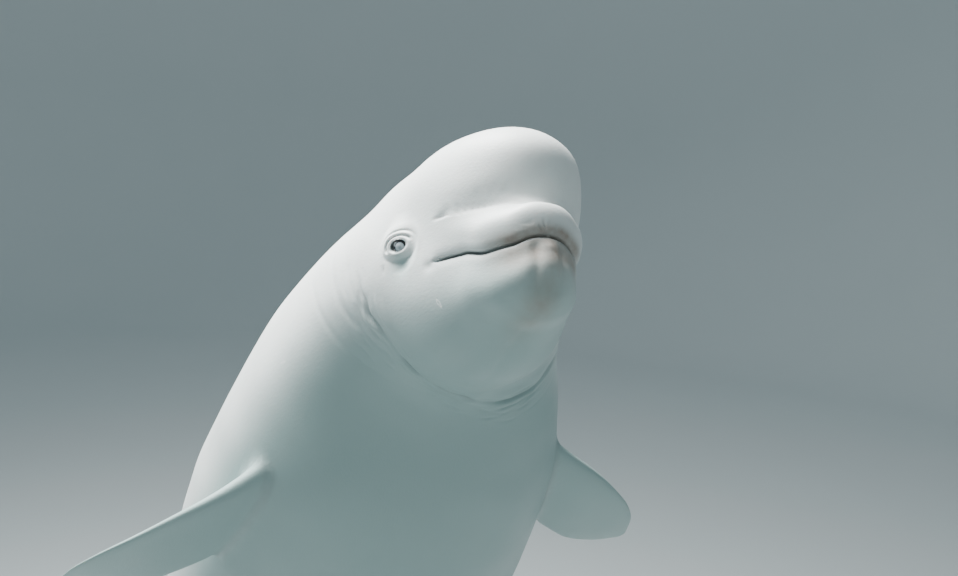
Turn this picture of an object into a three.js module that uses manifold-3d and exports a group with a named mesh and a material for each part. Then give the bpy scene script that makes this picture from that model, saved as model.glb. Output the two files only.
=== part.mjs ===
// Beluga whale, adult, as a still life-size museum model on a plain display stand.
// Millimetres, +Z up. The whale heads towards +X with its left side on +Y.
// The origin is the centre of the underside of the stand's base.
//
// The body is first described straight, in its own frame: x forward from the mouth's tip
// (so x is never positive behind it), y left, z up. "s" is the distance behind that tip.
// pose() then bends the straight body along its spine.

import * as THREE from "three";
import Module from "manifold-3d";

const { Manifold, CrossSection, Mesh } = await Module().then((wasm) => {
  wasm.setup();
  return wasm;
});

// Driving dimensions.

const BODY_LENGTH = 4200;
const GAP = 0.3;
const ANCHOR_S = 1200;

const RINGS_HEAD = 20;
const RINGS_BODY = 30;
const RING_POINTS = 40;
const RAY_CENTRE_X = -230;
const RAY_REACH = 700;

// Trunk outline: distance behind the mouth's tip, back height, belly height, half width.
const TRUNK = [
  [200, 20, -20, 20],
  [400, 270, -130, 236],
  [560, 278, -220, 305],
  [750, 284, -310, 380],
  [950, 305, -362, 433],
  [1200, 342, -395, 463],
  [1500, 372, -420, 468],
  [2050, 362, -405, 420],
  [2550, 305, -320, 320],
  [3000, 232, -220, 212],
  [3440, 160, -125, 115],
  [3780, 106, -66, 58],
  [3990, 64, -32, 35],
  [4160, 30, 0, 20],
];
const TRUNK_POWER = 2.15;

// Head volumes: centre, then radii along x, y and z.
const CRANIUM = { centre: [-360, 0, 59], radii: [250, 187, 236] };
const MELON = { centre: [-275, 0, 180], radii: [258, 168, 123] };
const MELON_BASE = { centre: [-205, 0, 120], radii: [162, 136, 76] };
const UPPER_JAW = { centre: [-170, 0, 46], radii: [172, 127, 74] };
const LOWER_JAW = { centre: [-190, 0, -52], radii: [188, 108.5, 80] };
const LIP_FILL = { centre: [-165, 0, 0], radii: [160, 110, 50] };
const CHEEK = { centre: [-276, 32, -57], radii: [160, 96, 115] };
const EYE_MOUND = { centre: [-300, 154, 67], radii: [55, 34, 44] };

const BLEND_NECK = 90;
const BLEND_MELON = 80;
const BLEND_MELON_BASE = 50;
const BLEND_CHEEK = 70;
const BLEND_MOUTH = 16;
const BLEND_LIP_FILL = 30;
const BLEND_LIP_FRONT = 36;
const BLEND_LIP_BACK = 90;
const BLEND_EYE = 26;

// Ridge along the back in place of a dorsal fin.
const RIDGE_START = 1850;
const RIDGE_END = 2600;
const RIDGE_HEIGHT = 22;
const RIDGE_WIDTH = 60;

const PITCH_HEAD = 29.9;
const PITCH_TRUNK = 59.5;
const PITCH_TAIL = 40;
const YAW_HEAD = -3.6;
const ROLL_HEAD = -7.3;
const NECK_BEND = [360, 950];
const TAIL_BEND = [1900, 3700];

const EYE_S = 297;
const EYE_Z = 67;
const EYE_RADIUS = 22;
const EYE_PROUD = 4;

// The closed mouth: its height at each distance behind the mouth's tip, and its corner.
const MOUTH_S = [-60, 0, 35, 80, 140, 200, 300];
const MOUTH_Z = [-1, -1, -16, -18, -1, 3, 3];
const MOUTH_FADE = [210, 300];
const MOUTH_CORNER_S = 207;
const MOUTH_STEPS = [-60, 0, 9, 18, 27, 35, 57, 80, 110, 140, 170, MOUTH_CORNER_S];
const JAW_BACK = [
  [-300, -60],
  [-400, -180],
  [-420, -420],
  [60, -420],
];

const FLIPPER = {
  rootS: 905,
  rootY: 275,
  rootZ: -135,
  sweep: 36,
  drop: 17,
  pitch: -5,
  length: 580,
  chord: 240,
  thickness: 62,
  curl: { right: 175, left: 90 },
};
const FLUKE = { reach: 520, thickness: 62, lift: 12 };

const CUT_NECK = 545;
const CUT_CHEST = 715;
const CUT_ABDOMEN = 1450;
const CUT_TAIL = 2650;

const BASE = { length: 2100, width: 1100, height: 50, corner: 90, bevel: 6 };
const TAIL_CLEARANCE = 130;
const ROD_RADIUS = 38;
const ROD_FRONT_X = 330;
const ROD_REAR_X = -620;
const FLANGE = { radius: 95, height: 18, bevel: 5 };

const MATERIALS = {
  skin: new THREE.MeshStandardMaterial({ name: "skin", color: 0xe4e9e6, roughness: 0.5 }),
  eye: new THREE.MeshStandardMaterial({ name: "eye", color: 0x3c444a, roughness: 0.12 }),
  stand: new THREE.MeshStandardMaterial({
    name: "stand",
    color: 0x4a4f52,
    roughness: 0.45,
    metalness: 0.6,
  }),
};

// Curves.

const radians = THREE.MathUtils.degToRad;

function smoothstep(value, from, to) {
  const t = THREE.MathUtils.clamp((value - from) / (to - from), 0, 1);
  return t * t * (3 - 2 * t);
}

/** Monotone cubic through the points (xs, ys), held level beyond both ends. */
function monotone(xs, ys) {
  const n = xs.length;
  const h = xs.slice(1).map((x, i) => x - xs[i]);
  const d = h.map((step, i) => (ys[i + 1] - ys[i]) / step);
  const slope = ys.map((_, i) => {
    if (i === 0) return endSlope(h[0], h[1], d[0], d[1]);
    if (i === n - 1) return endSlope(h[n - 2], h[n - 3], d[n - 2], d[n - 3]);
    if (d[i - 1] * d[i] <= 0) return 0;
    const w1 = 2 * h[i] + h[i - 1];
    const w2 = h[i] + 2 * h[i - 1];
    return (w1 + w2) / (w1 / d[i - 1] + w2 / d[i]);
  });
  return (x) => {
    const value = THREE.MathUtils.clamp(x, xs[0], xs[n - 1]);
    let i = 0;
    while (i < n - 2 && value > xs[i + 1]) i += 1;
    const t = (value - xs[i]) / h[i];
    const a = (1 + 2 * t) * (1 - t) ** 2 * ys[i];
    const b = t * (1 - t) ** 2 * h[i] * slope[i];
    const c = t * t * (3 - 2 * t) * ys[i + 1];
    const e = t * t * (t - 1) * h[i] * slope[i + 1];
    return a + b + c + e;
  };
}

function endSlope(h0, h1, d0, d1) {
  const slope = ((2 * h0 + h1) * d0 - h0 * d1) / (h0 + h1);
  if (slope * d0 <= 0) return 0;
  if (d0 * d1 <= 0 && Math.abs(slope) > 3 * Math.abs(d0)) return 3 * d0;
  return slope;
}

const trunkS = TRUNK.map((row) => row[0]);
const trunkTop = monotone(trunkS, TRUNK.map((row) => row[1]));
const trunkBottom = monotone(trunkS, TRUNK.map((row) => row[2]));
const trunkHalfWidth = monotone(trunkS, TRUNK.map((row) => row[3]));
const mouthCurve = monotone(MOUTH_S, MOUTH_Z);

// The straight body as a field: negative inside, zero on the skin.

/** Smooth minimum: joins two fields with a fillet about "blend" wide. */
function join(a, b, blend) {
  const h = THREE.MathUtils.clamp(0.5 + (0.5 * (b - a)) / blend, 0, 1);
  return b * (1 - h) + a * h - blend * h * (1 - h);
}

function ellipsoid(x, y, z, { centre, radii }) {
  const q = [x - centre[0], y - centre[1], z - centre[2]];
  const near = Math.hypot(q[0] / radii[0], q[1] / radii[1], q[2] / radii[2]);
  const far = Math.hypot(q[0] / radii[0] ** 2, q[1] / radii[1] ** 2, q[2] / radii[2] ** 2);
  return (near * (near - 1)) / Math.max(far, 1e-6);
}

function trunkField(x, y, z) {
  const s = -x;
  const width = trunkHalfWidth(s);
  const middle = (trunkTop(s) + trunkBottom(s)) / 2;
  const height = (trunkTop(s) - trunkBottom(s)) / 2;
  const side = (y / width) ** TRUNK_POWER;
  const rise = (Math.abs(z - middle) / height) ** TRUNK_POWER;
  const tube = ((side + rise) ** (1 / TRUNK_POWER) - 1) * Math.min(width, height);
  const front = -TRUNK[0][0];
  return x > front ? Math.hypot(Math.max(tube, 0), x - front) : tube;
}

/** Height of the mouth line at x; it fades out behind the corner. */
function mouthHeight(x) {
  return mouthCurve(-x) * (1 - smoothstep(-x, ...MOUTH_FADE));
}

function headField(x, y, z, trunk) {
  const skull = join(ellipsoid(x, y, z, CRANIUM), trunk, BLEND_NECK);
  const melon = join(skull, ellipsoid(x, y, z, MELON), BLEND_MELON);
  const crown = join(melon, ellipsoid(x, y, z, MELON_BASE), BLEND_MELON_BASE);
  const above = z - mouthHeight(x);
  const upper = ellipsoid(x, y, above, UPPER_JAW);
  const lower = ellipsoid(x, y, above, LOWER_JAW);
  const lips = join(
    join(upper, lower, BLEND_MOUTH),
    ellipsoid(x, y, above, LIP_FILL),
    BLEND_LIP_FILL,
  );
  const jaws = join(lips, ellipsoid(x, y, z, CHEEK), BLEND_CHEEK);
  const lipBlend = THREE.MathUtils.lerp(
    BLEND_LIP_FRONT,
    BLEND_LIP_BACK,
    smoothstep(-x, 120, 300),
  );
  return join(join(crown, jaws, lipBlend), ellipsoid(x, y, z, EYE_MOUND), BLEND_EYE);
}

/** Height of the ridge at a point: a low swell along the top of the back. */
function ridge(x, y, z) {
  if (z < 0) return 0;
  const along = smoothstep(-x, RIDGE_START, RIDGE_START + 250);
  const fade = 1 - smoothstep(-x, RIDGE_END - 350, RIDGE_END);
  return RIDGE_HEIGHT * along * fade * Math.exp(-((y / RIDGE_WIDTH) ** 2));
}

function bodyField(x, y, z) {
  const side = Math.abs(y);
  const trunk = trunkField(x, side, z);
  const body = -x < 1000 ? headField(x, side, z, trunk) : trunk;
  return body - ridge(x, y, z);
}

// Pose: the spine bends in pitch, and the head also turns and rolls.

function spineFrame(s) {
  const neck = smoothstep(s, ...NECK_BEND);
  const tail = smoothstep(s, ...TAIL_BEND);
  const pitch = radians(
    PITCH_HEAD + (PITCH_TRUNK - PITCH_HEAD) * neck + (PITCH_TAIL - PITCH_TRUNK) * tail,
  );
  const yaw = radians(YAW_HEAD) * (1 - neck);
  const roll = radians(ROLL_HEAD) * (1 - neck);
  const forward = new THREE.Vector3(
    Math.cos(pitch) * Math.cos(yaw),
    Math.cos(pitch) * Math.sin(yaw),
    Math.sin(pitch),
  );
  const level = new THREE.Vector3(-Math.sin(yaw), Math.cos(yaw), 0);
  const raised = new THREE.Vector3().crossVectors(forward, level);
  const left = level.multiplyScalar(Math.cos(roll)).addScaledVector(raised, Math.sin(roll));
  const up = new THREE.Vector3().crossVectors(forward, left);
  return { forward, left, up };
}

const SPINE_STEP = 5;
const SPINE_START = -300;

/** Points of the spine every SPINE_STEP, moved so that ANCHOR_S lies at the origin. */
function spinePoints() {
  const points = [new THREE.Vector3()];
  for (let s = SPINE_START; s < BODY_LENGTH + 300; s += SPINE_STEP) {
    const { forward } = spineFrame(s + SPINE_STEP / 2);
    points.push(points.at(-1).clone().addScaledVector(forward, -SPINE_STEP));
  }
  const anchor = points[(ANCHOR_S - SPINE_START) / SPINE_STEP].clone();
  return points.map((point) => point.sub(anchor));
}

const SPINE = spinePoints();

function spinePoint(s) {
  const place = (s - SPINE_START) / SPINE_STEP;
  const i = THREE.MathUtils.clamp(Math.floor(place), 0, SPINE.length - 2);
  return SPINE[i].clone().lerp(SPINE[i + 1], place - i);
}

function pose([x, y, z]) {
  const { left, up } = spineFrame(-x);
  return spinePoint(-x).addScaledVector(left, y).addScaledVector(up, z);
}

// Solids.

/** A closed solid from rings of points, with one point at each end. */
function solidFromRings(rings, first, last) {
  const count = rings[0].length;
  const points = [first, ...rings.flat(), last];
  const triangles = [];
  const at = (ring, i) => 1 + ring * count + (i % count);
  for (let i = 0; i < count; i += 1) {
    triangles.push([0, at(0, i), at(0, i + 1)]);
    triangles.push([points.length - 1, at(rings.length - 1, i + 1), at(rings.length - 1, i)]);
    for (let ring = 0; ring < rings.length - 1; ring += 1) {
      triangles.push([at(ring, i), at(ring + 1, i), at(ring + 1, i + 1)]);
      triangles.push([at(ring, i), at(ring + 1, i + 1), at(ring, i + 1)]);
    }
  }
  const solid = new Manifold(
    new Mesh({
      numProp: 3,
      vertProperties: new Float32Array(points.flatMap((p) => [p.x, p.y, p.z])),
      triVerts: new Uint32Array(triangles.flat()),
    }),
  );
  return solid;
}

/** A point along a ray, carried up or down with the mouth line at that x. */
function alongRay(origin, direction, reach) {
  const [x, y, z] = origin.map((value, axis) => value + direction[axis] * reach);
  return [x, y, z + mouthHeight(x)];
}

/** Distance along a ray at which it leaves the body, found by halving. */
function surfaceReach(origin, direction) {
  let near = 0;
  let far = RAY_REACH;
  for (let step = 0; step < 24; step += 1) {
    const reach = (near + far) / 2;
    if (bodyField(...alongRay(origin, direction, reach)) < 0) near = reach;
    else far = reach;
  }
  return (near + far) / 2;
}

function ringAngles() {
  return Array.from({ length: RING_POINTS }, (_, i) => (i / RING_POINTS) * 2 * Math.PI);
}

/** One ring of the straight body, "swell" outside the skin. */
function bodyRing(origin, tilt, swell) {
  return ringAngles().map((angle) => {
    const direction = [
      Math.cos(tilt),
      Math.sin(tilt) * Math.cos(angle),
      Math.sin(tilt) * Math.sin(angle),
    ];
    return alongRay(origin, direction, surfaceReach(origin, direction) + swell);
  });
}

function bodySolid(swell) {
  const rings = [];
  for (let i = 1; i < RINGS_HEAD; i += 1) {
    rings.push(bodyRing([RAY_CENTRE_X, 0, 0], (i / RINGS_HEAD) * (Math.PI / 2), swell));
  }
  const tailEnd = -TRUNK.at(-1)[0];
  for (let i = 0; i <= RINGS_BODY; i += 1) {
    const x = RAY_CENTRE_X + (tailEnd - RAY_CENTRE_X) * (i / RINGS_BODY);
    const middle = (trunkTop(-x) + trunkBottom(-x)) / 2;
    rings.push(bodyRing([x, 0, middle * smoothstep(-x, 500, 1200)], Math.PI / 2, swell));
  }
  const front = [RAY_CENTRE_X, 0, 0];
  const ahead = [1, 0, 0];
  const tip = alongRay(front, ahead, surfaceReach(front, ahead) + swell);
  const tailMiddle = (trunkTop(-tailEnd) + trunkBottom(-tailEnd)) / 2;
  return solidFromRings(
    rings.map((ring) => ring.map(pose)),
    pose(tip),
    pose([tailEnd - 8 - swell, 0, tailMiddle]),
  );
}

/** Points round a fin's section: a blunt front edge, a thin rear edge. */
function finSection(front, rear, thickness, place) {
  const count = 14;
  return Array.from({ length: count }, (_, i) => {
    const angle = (i / count) * 2 * Math.PI;
    const forward = (1 + Math.cos(angle)) / 2;
    const bulge = Math.sin(angle) * Math.sqrt(0.2 + 0.8 * forward);
    return place(rear + (front - rear) * forward, (bulge * thickness) / 2);
  });
}

const FIN_STEPS = [0, 0.12, 0.24, 0.36, 0.48, 0.6, 0.71, 0.81, 0.89, 0.95, 0.985];
const flipperFront = monotone([0, 0.2, 0.45, 0.7, 0.88, 1], [0.46, 0.43, 0.45, 0.39, 0.25, 0]);
const flipperRear = monotone(
  [0, 0.2, 0.45, 0.7, 0.88, 1],
  [-0.46, -0.46, -0.52, -0.51, -0.36, -0.12],
);
const flipperThickness = monotone([0, 0.3, 0.7, 1], [1.5, 1.1, 0.62, 0.16]);

/** One flipper; side is 1 for the left and -1 for the right. */
function flipperSolid(side, curl) {
  const sweep = radians(FLIPPER.sweep);
  const drop = radians(FLIPPER.drop);
  const pitch = radians(FLIPPER.pitch);
  const span = new THREE.Vector3(
    -Math.sin(sweep) * Math.cos(drop),
    side * Math.cos(sweep) * Math.cos(drop),
    -Math.sin(drop),
  );
  const forward = new THREE.Vector3(1, 0, 0);
  const flat = forward.addScaledVector(span, -forward.dot(span)).normalize();
  const top = new THREE.Vector3().crossVectors(flat, span).multiplyScalar(side);
  const chord = flat.clone().multiplyScalar(Math.cos(pitch));
  chord.addScaledVector(top, -Math.sin(pitch));
  const normal = top.multiplyScalar(Math.cos(pitch)).addScaledVector(flat, Math.sin(pitch));
  const root = new THREE.Vector3(-FLIPPER.rootS, side * FLIPPER.rootY, FLIPPER.rootZ);
  const place = (t) => (along, across) => {
    const point = root.clone().addScaledVector(span, FLIPPER.length * t);
    point.addScaledVector(chord, along).addScaledVector(normal, curl * t * t + across);
    return pose(point.toArray());
  };
  const rings = FIN_STEPS.map((t) =>
    finSection(
      flipperFront(t) * FLIPPER.chord,
      flipperRear(t) * FLIPPER.chord,
      flipperThickness(t) * FLIPPER.thickness,
      place(t),
    ),
  );
  return facingOut(rings, place(0)(0, 0), place(1)(-0.06 * FLIPPER.chord, 0));
}

const flukeFront = monotone([0, 0.15, 0.4, 0.7, 0.9, 1], [3760, 3825, 3930, 4040, 4125, 4195]);
const flukeRear = monotone([0, 0.1, 0.3, 0.55, 0.8, 1], [4150, 4205, 4262, 4275, 4255, 4215]);
const flukeThickness = monotone([0, 0.25, 0.7, 1], [1, 0.72, 0.42, 0.15]);

/** One fluke, level across the end of the tail. */
function flukeSolid(side) {
  const place = (t) => (along, across) => {
    const middle = 14 + FLUKE.lift * t * t;
    return pose([along, side * FLUKE.reach * t, middle + across]);
  };
  const rings = FIN_STEPS.map((t) =>
    finSection(-flukeFront(t), -flukeRear(t), flukeThickness(t) * FLUKE.thickness, place(t)),
  );
  return facingOut(rings, place(0)(-3950, 0), place(1)(-4207, 0));
}

/** Builds the rings in whichever order gives a solid with positive volume. */
function facingOut(rings, first, last) {
  const solid = solidFromRings(rings, first, last);
  if (solid.volume() > 0) return solid;
  return solidFromRings(rings.map((ring) => [...ring].reverse()), first, last);
}

/** Cuts a solid across the spine at s into the parts before and behind the cut. */
function cutAcross(solid, s) {
  const { forward } = spineFrame(s);
  const offset = forward.dot(spinePoint(s));
  const before = solid.trimByPlane(forward.toArray(), offset + GAP / 2);
  const behind = solid.trimByPlane(forward.clone().negate().toArray(), -offset + GAP / 2);
  return [before, behind];
}

/** The prism that holds the lower jaw, up to the mouth line and back to its corner. */
function jawPrism(swell) {
  const mouthLine = MOUTH_STEPS.map((s) => [-s, mouthHeight(-s)]);
  const outline = new CrossSection([[...mouthLine, ...JAW_BACK]], "NonZero");
  const grown = swell > 0 ? outline.offset(swell, "Miter", 2) : outline;
  const { forward, left, up } = spineFrame(0);
  const origin = spinePoint(0);
  const depth = left.clone().negate();
  const corner = origin.addScaledVector(left, 400);
  const matrix = new THREE.Matrix4().makeBasis(forward, up, depth).setPosition(corner);
  return grown.extrude(800).transform(matrix.toArray());
}

function eyeCentre(side) {
  const low = EYE_Z - mouthHeight(-EYE_S);
  const reach = surfaceReach([-EYE_S, 0, low], [0, side, 0]);
  return pose([-EYE_S, side * (reach - EYE_RADIUS + EYE_PROUD), EYE_Z]).toArray();
}

function ball(radius, centre) {
  return Manifold.sphere(radius, 20).translate(centre);
}

function headParts(head) {
  const sockets = [1, -1].map((side) => ball(EYE_RADIUS + GAP, eyeCentre(side)));
  const skull = head.subtract(jawPrism(GAP)).subtract(sockets[0]).subtract(sockets[1]);
  return {
    head: skull,
    lower_jaw: head.intersect(jawPrism(0)),
    eye_left: ball(EYE_RADIUS, eyeCentre(1)),
    eye_right: ball(EYE_RADIUS, eyeCentre(-1)),
  };
}

function whaleParts() {
  const outer = bodySolid(GAP);
  const [head, afterHead] = cutAcross(bodySolid(0), CUT_NECK);
  const [neck, afterNeck] = cutAcross(afterHead, CUT_CHEST);
  const [chest, afterChest] = cutAcross(afterNeck, CUT_ABDOMEN);
  const [abdomen, tailStock] = cutAcross(afterChest, CUT_TAIL);
  const half = (side) => [0, side, 0];
  const fluke = (side) => flukeSolid(side).subtract(outer).trimByPlane(half(side), GAP / 2);
  return {
    ...headParts(head),
    neck,
    chest,
    abdomen,
    tail_stock: tailStock,
    fluke_left: fluke(1),
    fluke_right: fluke(-1),
    flipper_left: flipperSolid(1, FLIPPER.curl.left).subtract(outer),
    flipper_right: flipperSolid(-1, FLIPPER.curl.right).subtract(outer),
  };
}

// Stand.

function basePlate() {
  const { length, width, height, corner, bevel } = BASE;
  const inner = CrossSection.square([length - 2 * corner, width - 2 * corner], true);
  const full = inner.offset(corner, "Round", 2, 32);
  const small = inner.offset(corner - bevel, "Round", 2, 32);
  const slab = full.extrude(height - bevel);
  const top = small.extrude(height);
  return Manifold.hull([slab, top]);
}

function flange(x) {
  const { radius, height, bevel } = FLANGE;
  const lower = Manifold.cylinder(height - bevel, radius, radius, 32);
  const upper = Manifold.cylinder(height, radius - bevel, radius - bevel, 32);
  const hole = Manifold.cylinder(4 * height, ROD_RADIUS + GAP, ROD_RADIUS + GAP, 32);
  const disc = Manifold.hull([lower, upper]).subtract(hole.translate([0, 0, -height]));
  return disc.translate([x, 0, BASE.height + GAP]);
}

/** A rod from the base up to the body, with its top cut to the skin. */
function rod(x, body) {
  const foot = BASE.height + GAP;
  const tall = Manifold.cylinder(2500, ROD_RADIUS, ROD_RADIUS, 32).translate([x, 0, foot]);
  const pieces = tall.subtract(body).decompose();
  return pieces.reduce((low, piece) => (lowest(piece) < lowest(low) ? piece : low));
}

function lowest(solid) {
  return solid.boundingBox().min[2];
}

// Scene graph.

function toMesh(name, solid, material) {
  const mesh = solid.getMesh();
  const geometry = new THREE.BufferGeometry();
  const stride = mesh.numProp;
  const count = mesh.vertProperties.length / stride;
  const positions = new Float32Array(count * 3);
  for (let i = 0; i < count; i += 1) {
    positions.set(mesh.vertProperties.slice(i * stride, i * stride + 3), i * 3);
  }
  geometry.setAttribute("position", new THREE.BufferAttribute(positions, 3));
  geometry.setIndex(new THREE.BufferAttribute(new Uint32Array(mesh.triVerts), 1));
  geometry.computeVertexNormals();
  const result = new THREE.Mesh(geometry, material);
  result.name = name;
  return result;
}

/** Shift that puts the centre of mass over the base and the tail clear above it. */
function standShift(parts) {
  const solids = Object.values(parts);
  let volume = 0;
  let moment = 0;
  for (const solid of solids) {
    const box = solid.boundingBox();
    volume += solid.volume();
    moment += (solid.volume() * (box.min[0] + box.max[0])) / 2;
  }
  const low = Math.min(...solids.map(lowest));
  return [-moment / volume, 0, BASE.height + TAIL_CLEARANCE - low];
}

function build() {
  const group = new THREE.Group();
  group.name = "beluga_whale";
  const parts = whaleParts();
  const shift = standShift(parts);
  for (const [name, solid] of Object.entries(parts)) {
    const material = name.startsWith("eye") ? MATERIALS.eye : MATERIALS.skin;
    group.add(toMesh(name, solid.translate(shift), material));
  }
  const body = bodySolid(GAP).translate(shift);
  const stand = {
    stand_base: basePlate(),
    stand_flange_front: flange(ROD_FRONT_X),
    stand_flange_rear: flange(ROD_REAR_X),
    stand_rod_front: rod(ROD_FRONT_X, body),
    stand_rod_rear: rod(ROD_REAR_X, body),
  };
  for (const [name, solid] of Object.entries(stand)) {
    group.add(toMesh(name, solid, MATERIALS.stand));
  }
  return group;
}

export default build();
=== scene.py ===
"""Looks of a still, life-size beluga whale on a plain display stand.

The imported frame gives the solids, in metres, with +X the way the whale heads, +Y its left
side and +Z up. This script lays one skin over the whale's solids, sets eyes behind lids in
it, gives every surface a procedural material, and adds a plain studio and a camera.

The skin is first described straight, in the body's own frame: x forward from the mouth's
tip, y left, z up, and "s" the distance behind that tip. The spine then bends it into the
pose that the solids have.
"""

import logging
import math
from collections.abc import Callable
from dataclasses import dataclass
from enum import Enum
from typing import ClassVar

import bpy
import numpy as np
from mathutils import Matrix, Vector

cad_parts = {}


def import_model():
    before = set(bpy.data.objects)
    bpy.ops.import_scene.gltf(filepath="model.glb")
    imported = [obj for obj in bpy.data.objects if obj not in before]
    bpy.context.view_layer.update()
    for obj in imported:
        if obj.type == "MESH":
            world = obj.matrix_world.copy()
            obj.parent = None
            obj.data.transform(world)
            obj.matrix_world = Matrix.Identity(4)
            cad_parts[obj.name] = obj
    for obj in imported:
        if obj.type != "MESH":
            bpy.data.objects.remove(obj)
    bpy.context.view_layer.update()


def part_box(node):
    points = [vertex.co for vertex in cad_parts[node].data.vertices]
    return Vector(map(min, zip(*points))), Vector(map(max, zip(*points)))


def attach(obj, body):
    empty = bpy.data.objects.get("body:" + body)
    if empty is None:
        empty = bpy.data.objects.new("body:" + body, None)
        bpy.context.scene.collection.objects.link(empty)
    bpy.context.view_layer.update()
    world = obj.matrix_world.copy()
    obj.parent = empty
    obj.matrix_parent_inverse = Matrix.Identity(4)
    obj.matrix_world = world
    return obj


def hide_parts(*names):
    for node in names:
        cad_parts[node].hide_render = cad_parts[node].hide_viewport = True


log = logging.getLogger("beluga")

Array = np.ndarray
Colour = tuple[float, float, float]

BODY_LENGTH = 4.200
ANCHOR_S = 1.200
RAY_CENTRE_X = -0.230
RAY_REACH = 0.700
HALVINGS = 22

FLESH_NODES = (
    "head",
    "lower_jaw",
    "neck",
    "chest",
    "abdomen",
    "tail_stock",
    "fluke_left",
    "fluke_right",
    "flipper_left",
    "flipper_right",
)
STAND_NODES = (
    "stand_base",
    "stand_flange_front",
    "stand_flange_rear",
    "stand_rod_front",
    "stand_rod_rear",
)


class Side(Enum):
    """The two sides of the body, each with its sign along y."""

    LEFT = 1
    RIGHT = -1


# Shared curves.


def smoothstep(value: Array, start: float, end: float) -> Array:
    """Eases from 0 at start to 1 at end.

    Args:
        value: Where to evaluate.
        start: Value at which the result leaves 0.
        end: Value at which the result reaches 1.

    Returns:
        The eased fraction, of the same shape as value.
    """
    t = np.clip((value - start) / (end - start), 0.0, 1.0)
    return t * t * (3.0 - 2.0 * t)


def bell(value: Array, width: float | Array) -> Array:
    """A smooth bump: 1 at zero, falling off over about the given width."""
    return np.exp(-((value / width) ** 2))


def join(a: Array, b: Array, blend: float | Array) -> Array:
    """Joins two fields with a fillet.

    Args:
        a: First field, negative inside.
        b: Second field, negative inside.
        blend: About how wide the fillet is.

    Returns:
        The field of both together.
    """
    h = np.clip(0.5 + 0.5 * (b - a) / blend, 0.0, 1.0)
    return b * (1.0 - h) + a * h - blend * h * (1.0 - h)


class Monotone:
    """A cubic curve through points that never overshoots between them."""

    def __init__(self, xs: tuple[float, ...], ys: tuple[float, ...]) -> None:
        """Works out the slope at each point.

        Args:
            xs: Rising abscissae.
            ys: Value at each of them.
        """
        self.xs = np.array(xs, float)
        self.ys = np.array(ys, float)
        step = np.diff(self.xs)
        rise = np.diff(self.ys) / step
        slope = np.zeros(len(xs))
        w1 = 2.0 * step[1:] + step[:-1]
        w2 = step[1:] + 2.0 * step[:-1]
        same = rise[:-1] * rise[1:] > 0.0
        left = np.where(same, rise[:-1], 1.0)
        right = np.where(same, rise[1:], 1.0)
        slope[1:-1] = np.where(same, (w1 + w2) / (w1 / left + w2 / right), 0.0)
        slope[0] = self._end(step[0], step[1], rise[0], rise[1])
        slope[-1] = self._end(step[-1], step[-2], rise[-1], rise[-2])
        self.slope = slope

    @staticmethod
    def _end(h0: float, h1: float, d0: float, d1: float) -> float:
        """Slope at an end: the parabola through the nearest two stretches, kept monotone.

        Args:
            h0: Length of the stretch at the end.
            h1: Length of the next one.
            d0: Slope of the first stretch.
            d1: Slope of the next one.

        Returns:
            The slope.
        """
        slope = ((2.0 * h0 + h1) * d0 - h0 * d1) / (h0 + h1)
        if slope * d0 <= 0.0:
            return 0.0
        if d0 * d1 <= 0.0 and abs(slope) > 3.0 * abs(d0):
            return 3.0 * d0
        return slope

    def __call__(self, x: Array) -> Array:
        """Evaluates the cubic of each stretch from its end values and end slopes.

        Args:
            x: Where to evaluate; beyond the ends the curve is level.

        Returns:
            The value at each x.
        """
        value = np.clip(x, self.xs[0], self.xs[-1])
        i = np.clip(np.searchsorted(self.xs, value, side="left") - 1, 0, len(self.xs) - 2)
        h = self.xs[i + 1] - self.xs[i]
        t = (value - self.xs[i]) / h
        return (
            (1.0 + 2.0 * t) * (1.0 - t) ** 2 * self.ys[i]
            + t * (1.0 - t) ** 2 * h * self.slope[i]
            + t * t * (3.0 - 2.0 * t) * self.ys[i + 1]
            + t * t * (t - 1.0) * h * self.slope[i + 1]
        )


def ripple(points: Array, wavelength: float, seed: int) -> Array:
    """Smooth, seeded, aperiodic noise made of crossing waves.

    Args:
        points: Positions, as rows of x, y and z.
        wavelength: Typical distance from crest to crest.
        seed: Chooses the waves.

    Returns:
        One value for each point, mostly between -1 and 1.
    """
    rng = np.random.default_rng(seed)
    waves = 9
    direction = rng.normal(size=(waves, 3))
    direction /= np.linalg.norm(direction, axis=1, keepdims=True)
    length = wavelength * rng.uniform(0.7, 1.5, waves)
    phase = rng.uniform(0.0, 2.0 * math.pi, waves)
    total = np.zeros(len(points))
    for k in range(waves):
        total += np.sin(points @ direction[k] * (2.0 * math.pi / length[k]) + phase[k])
    return total / math.sqrt(2.0 * waves)


def leaving(inside: Callable[[Array], Array], count: int) -> Array:
    """How far along each ray a body ends, found by halving the span again and again.

    Args:
        inside: Says for one distance on each ray whether that point is in the body.
        count: Number of rays.

    Returns:
        The distance at which each ray leaves the body.
    """
    near = np.zeros(count)
    far = np.full(count, RAY_REACH)
    for _ in range(HALVINGS):
        reach = (near + far) / 2.0
        within = inside(reach)
        near = np.where(within, reach, near)
        far = np.where(within, far, reach)
    return (near + far) / 2.0


# The straight body.


@dataclass(frozen=True)
class Blob:
    """An ellipsoid of the head, mirrored to both sides when off the middle."""

    centre: tuple[float, float, float]
    radii: tuple[float, float, float]

    def field(self, x: Array, y: Array, z: Array) -> Array:
        """Approximate signed distance, negative inside.

        Args:
            x: Forward coordinate.
            y: Distance from the middle plane, never negative.
            z: Upward coordinate.

        Returns:
            The field at each point.
        """
        q = (x - self.centre[0], y - self.centre[1], z - self.centre[2])
        near = np.sqrt(sum((q[k] / self.radii[k]) ** 2 for k in range(3)))
        far = np.sqrt(sum((q[k] / self.radii[k] ** 2) ** 2 for k in range(3)))
        return near * (near - 1.0) / np.maximum(far, 1e-6)


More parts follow.
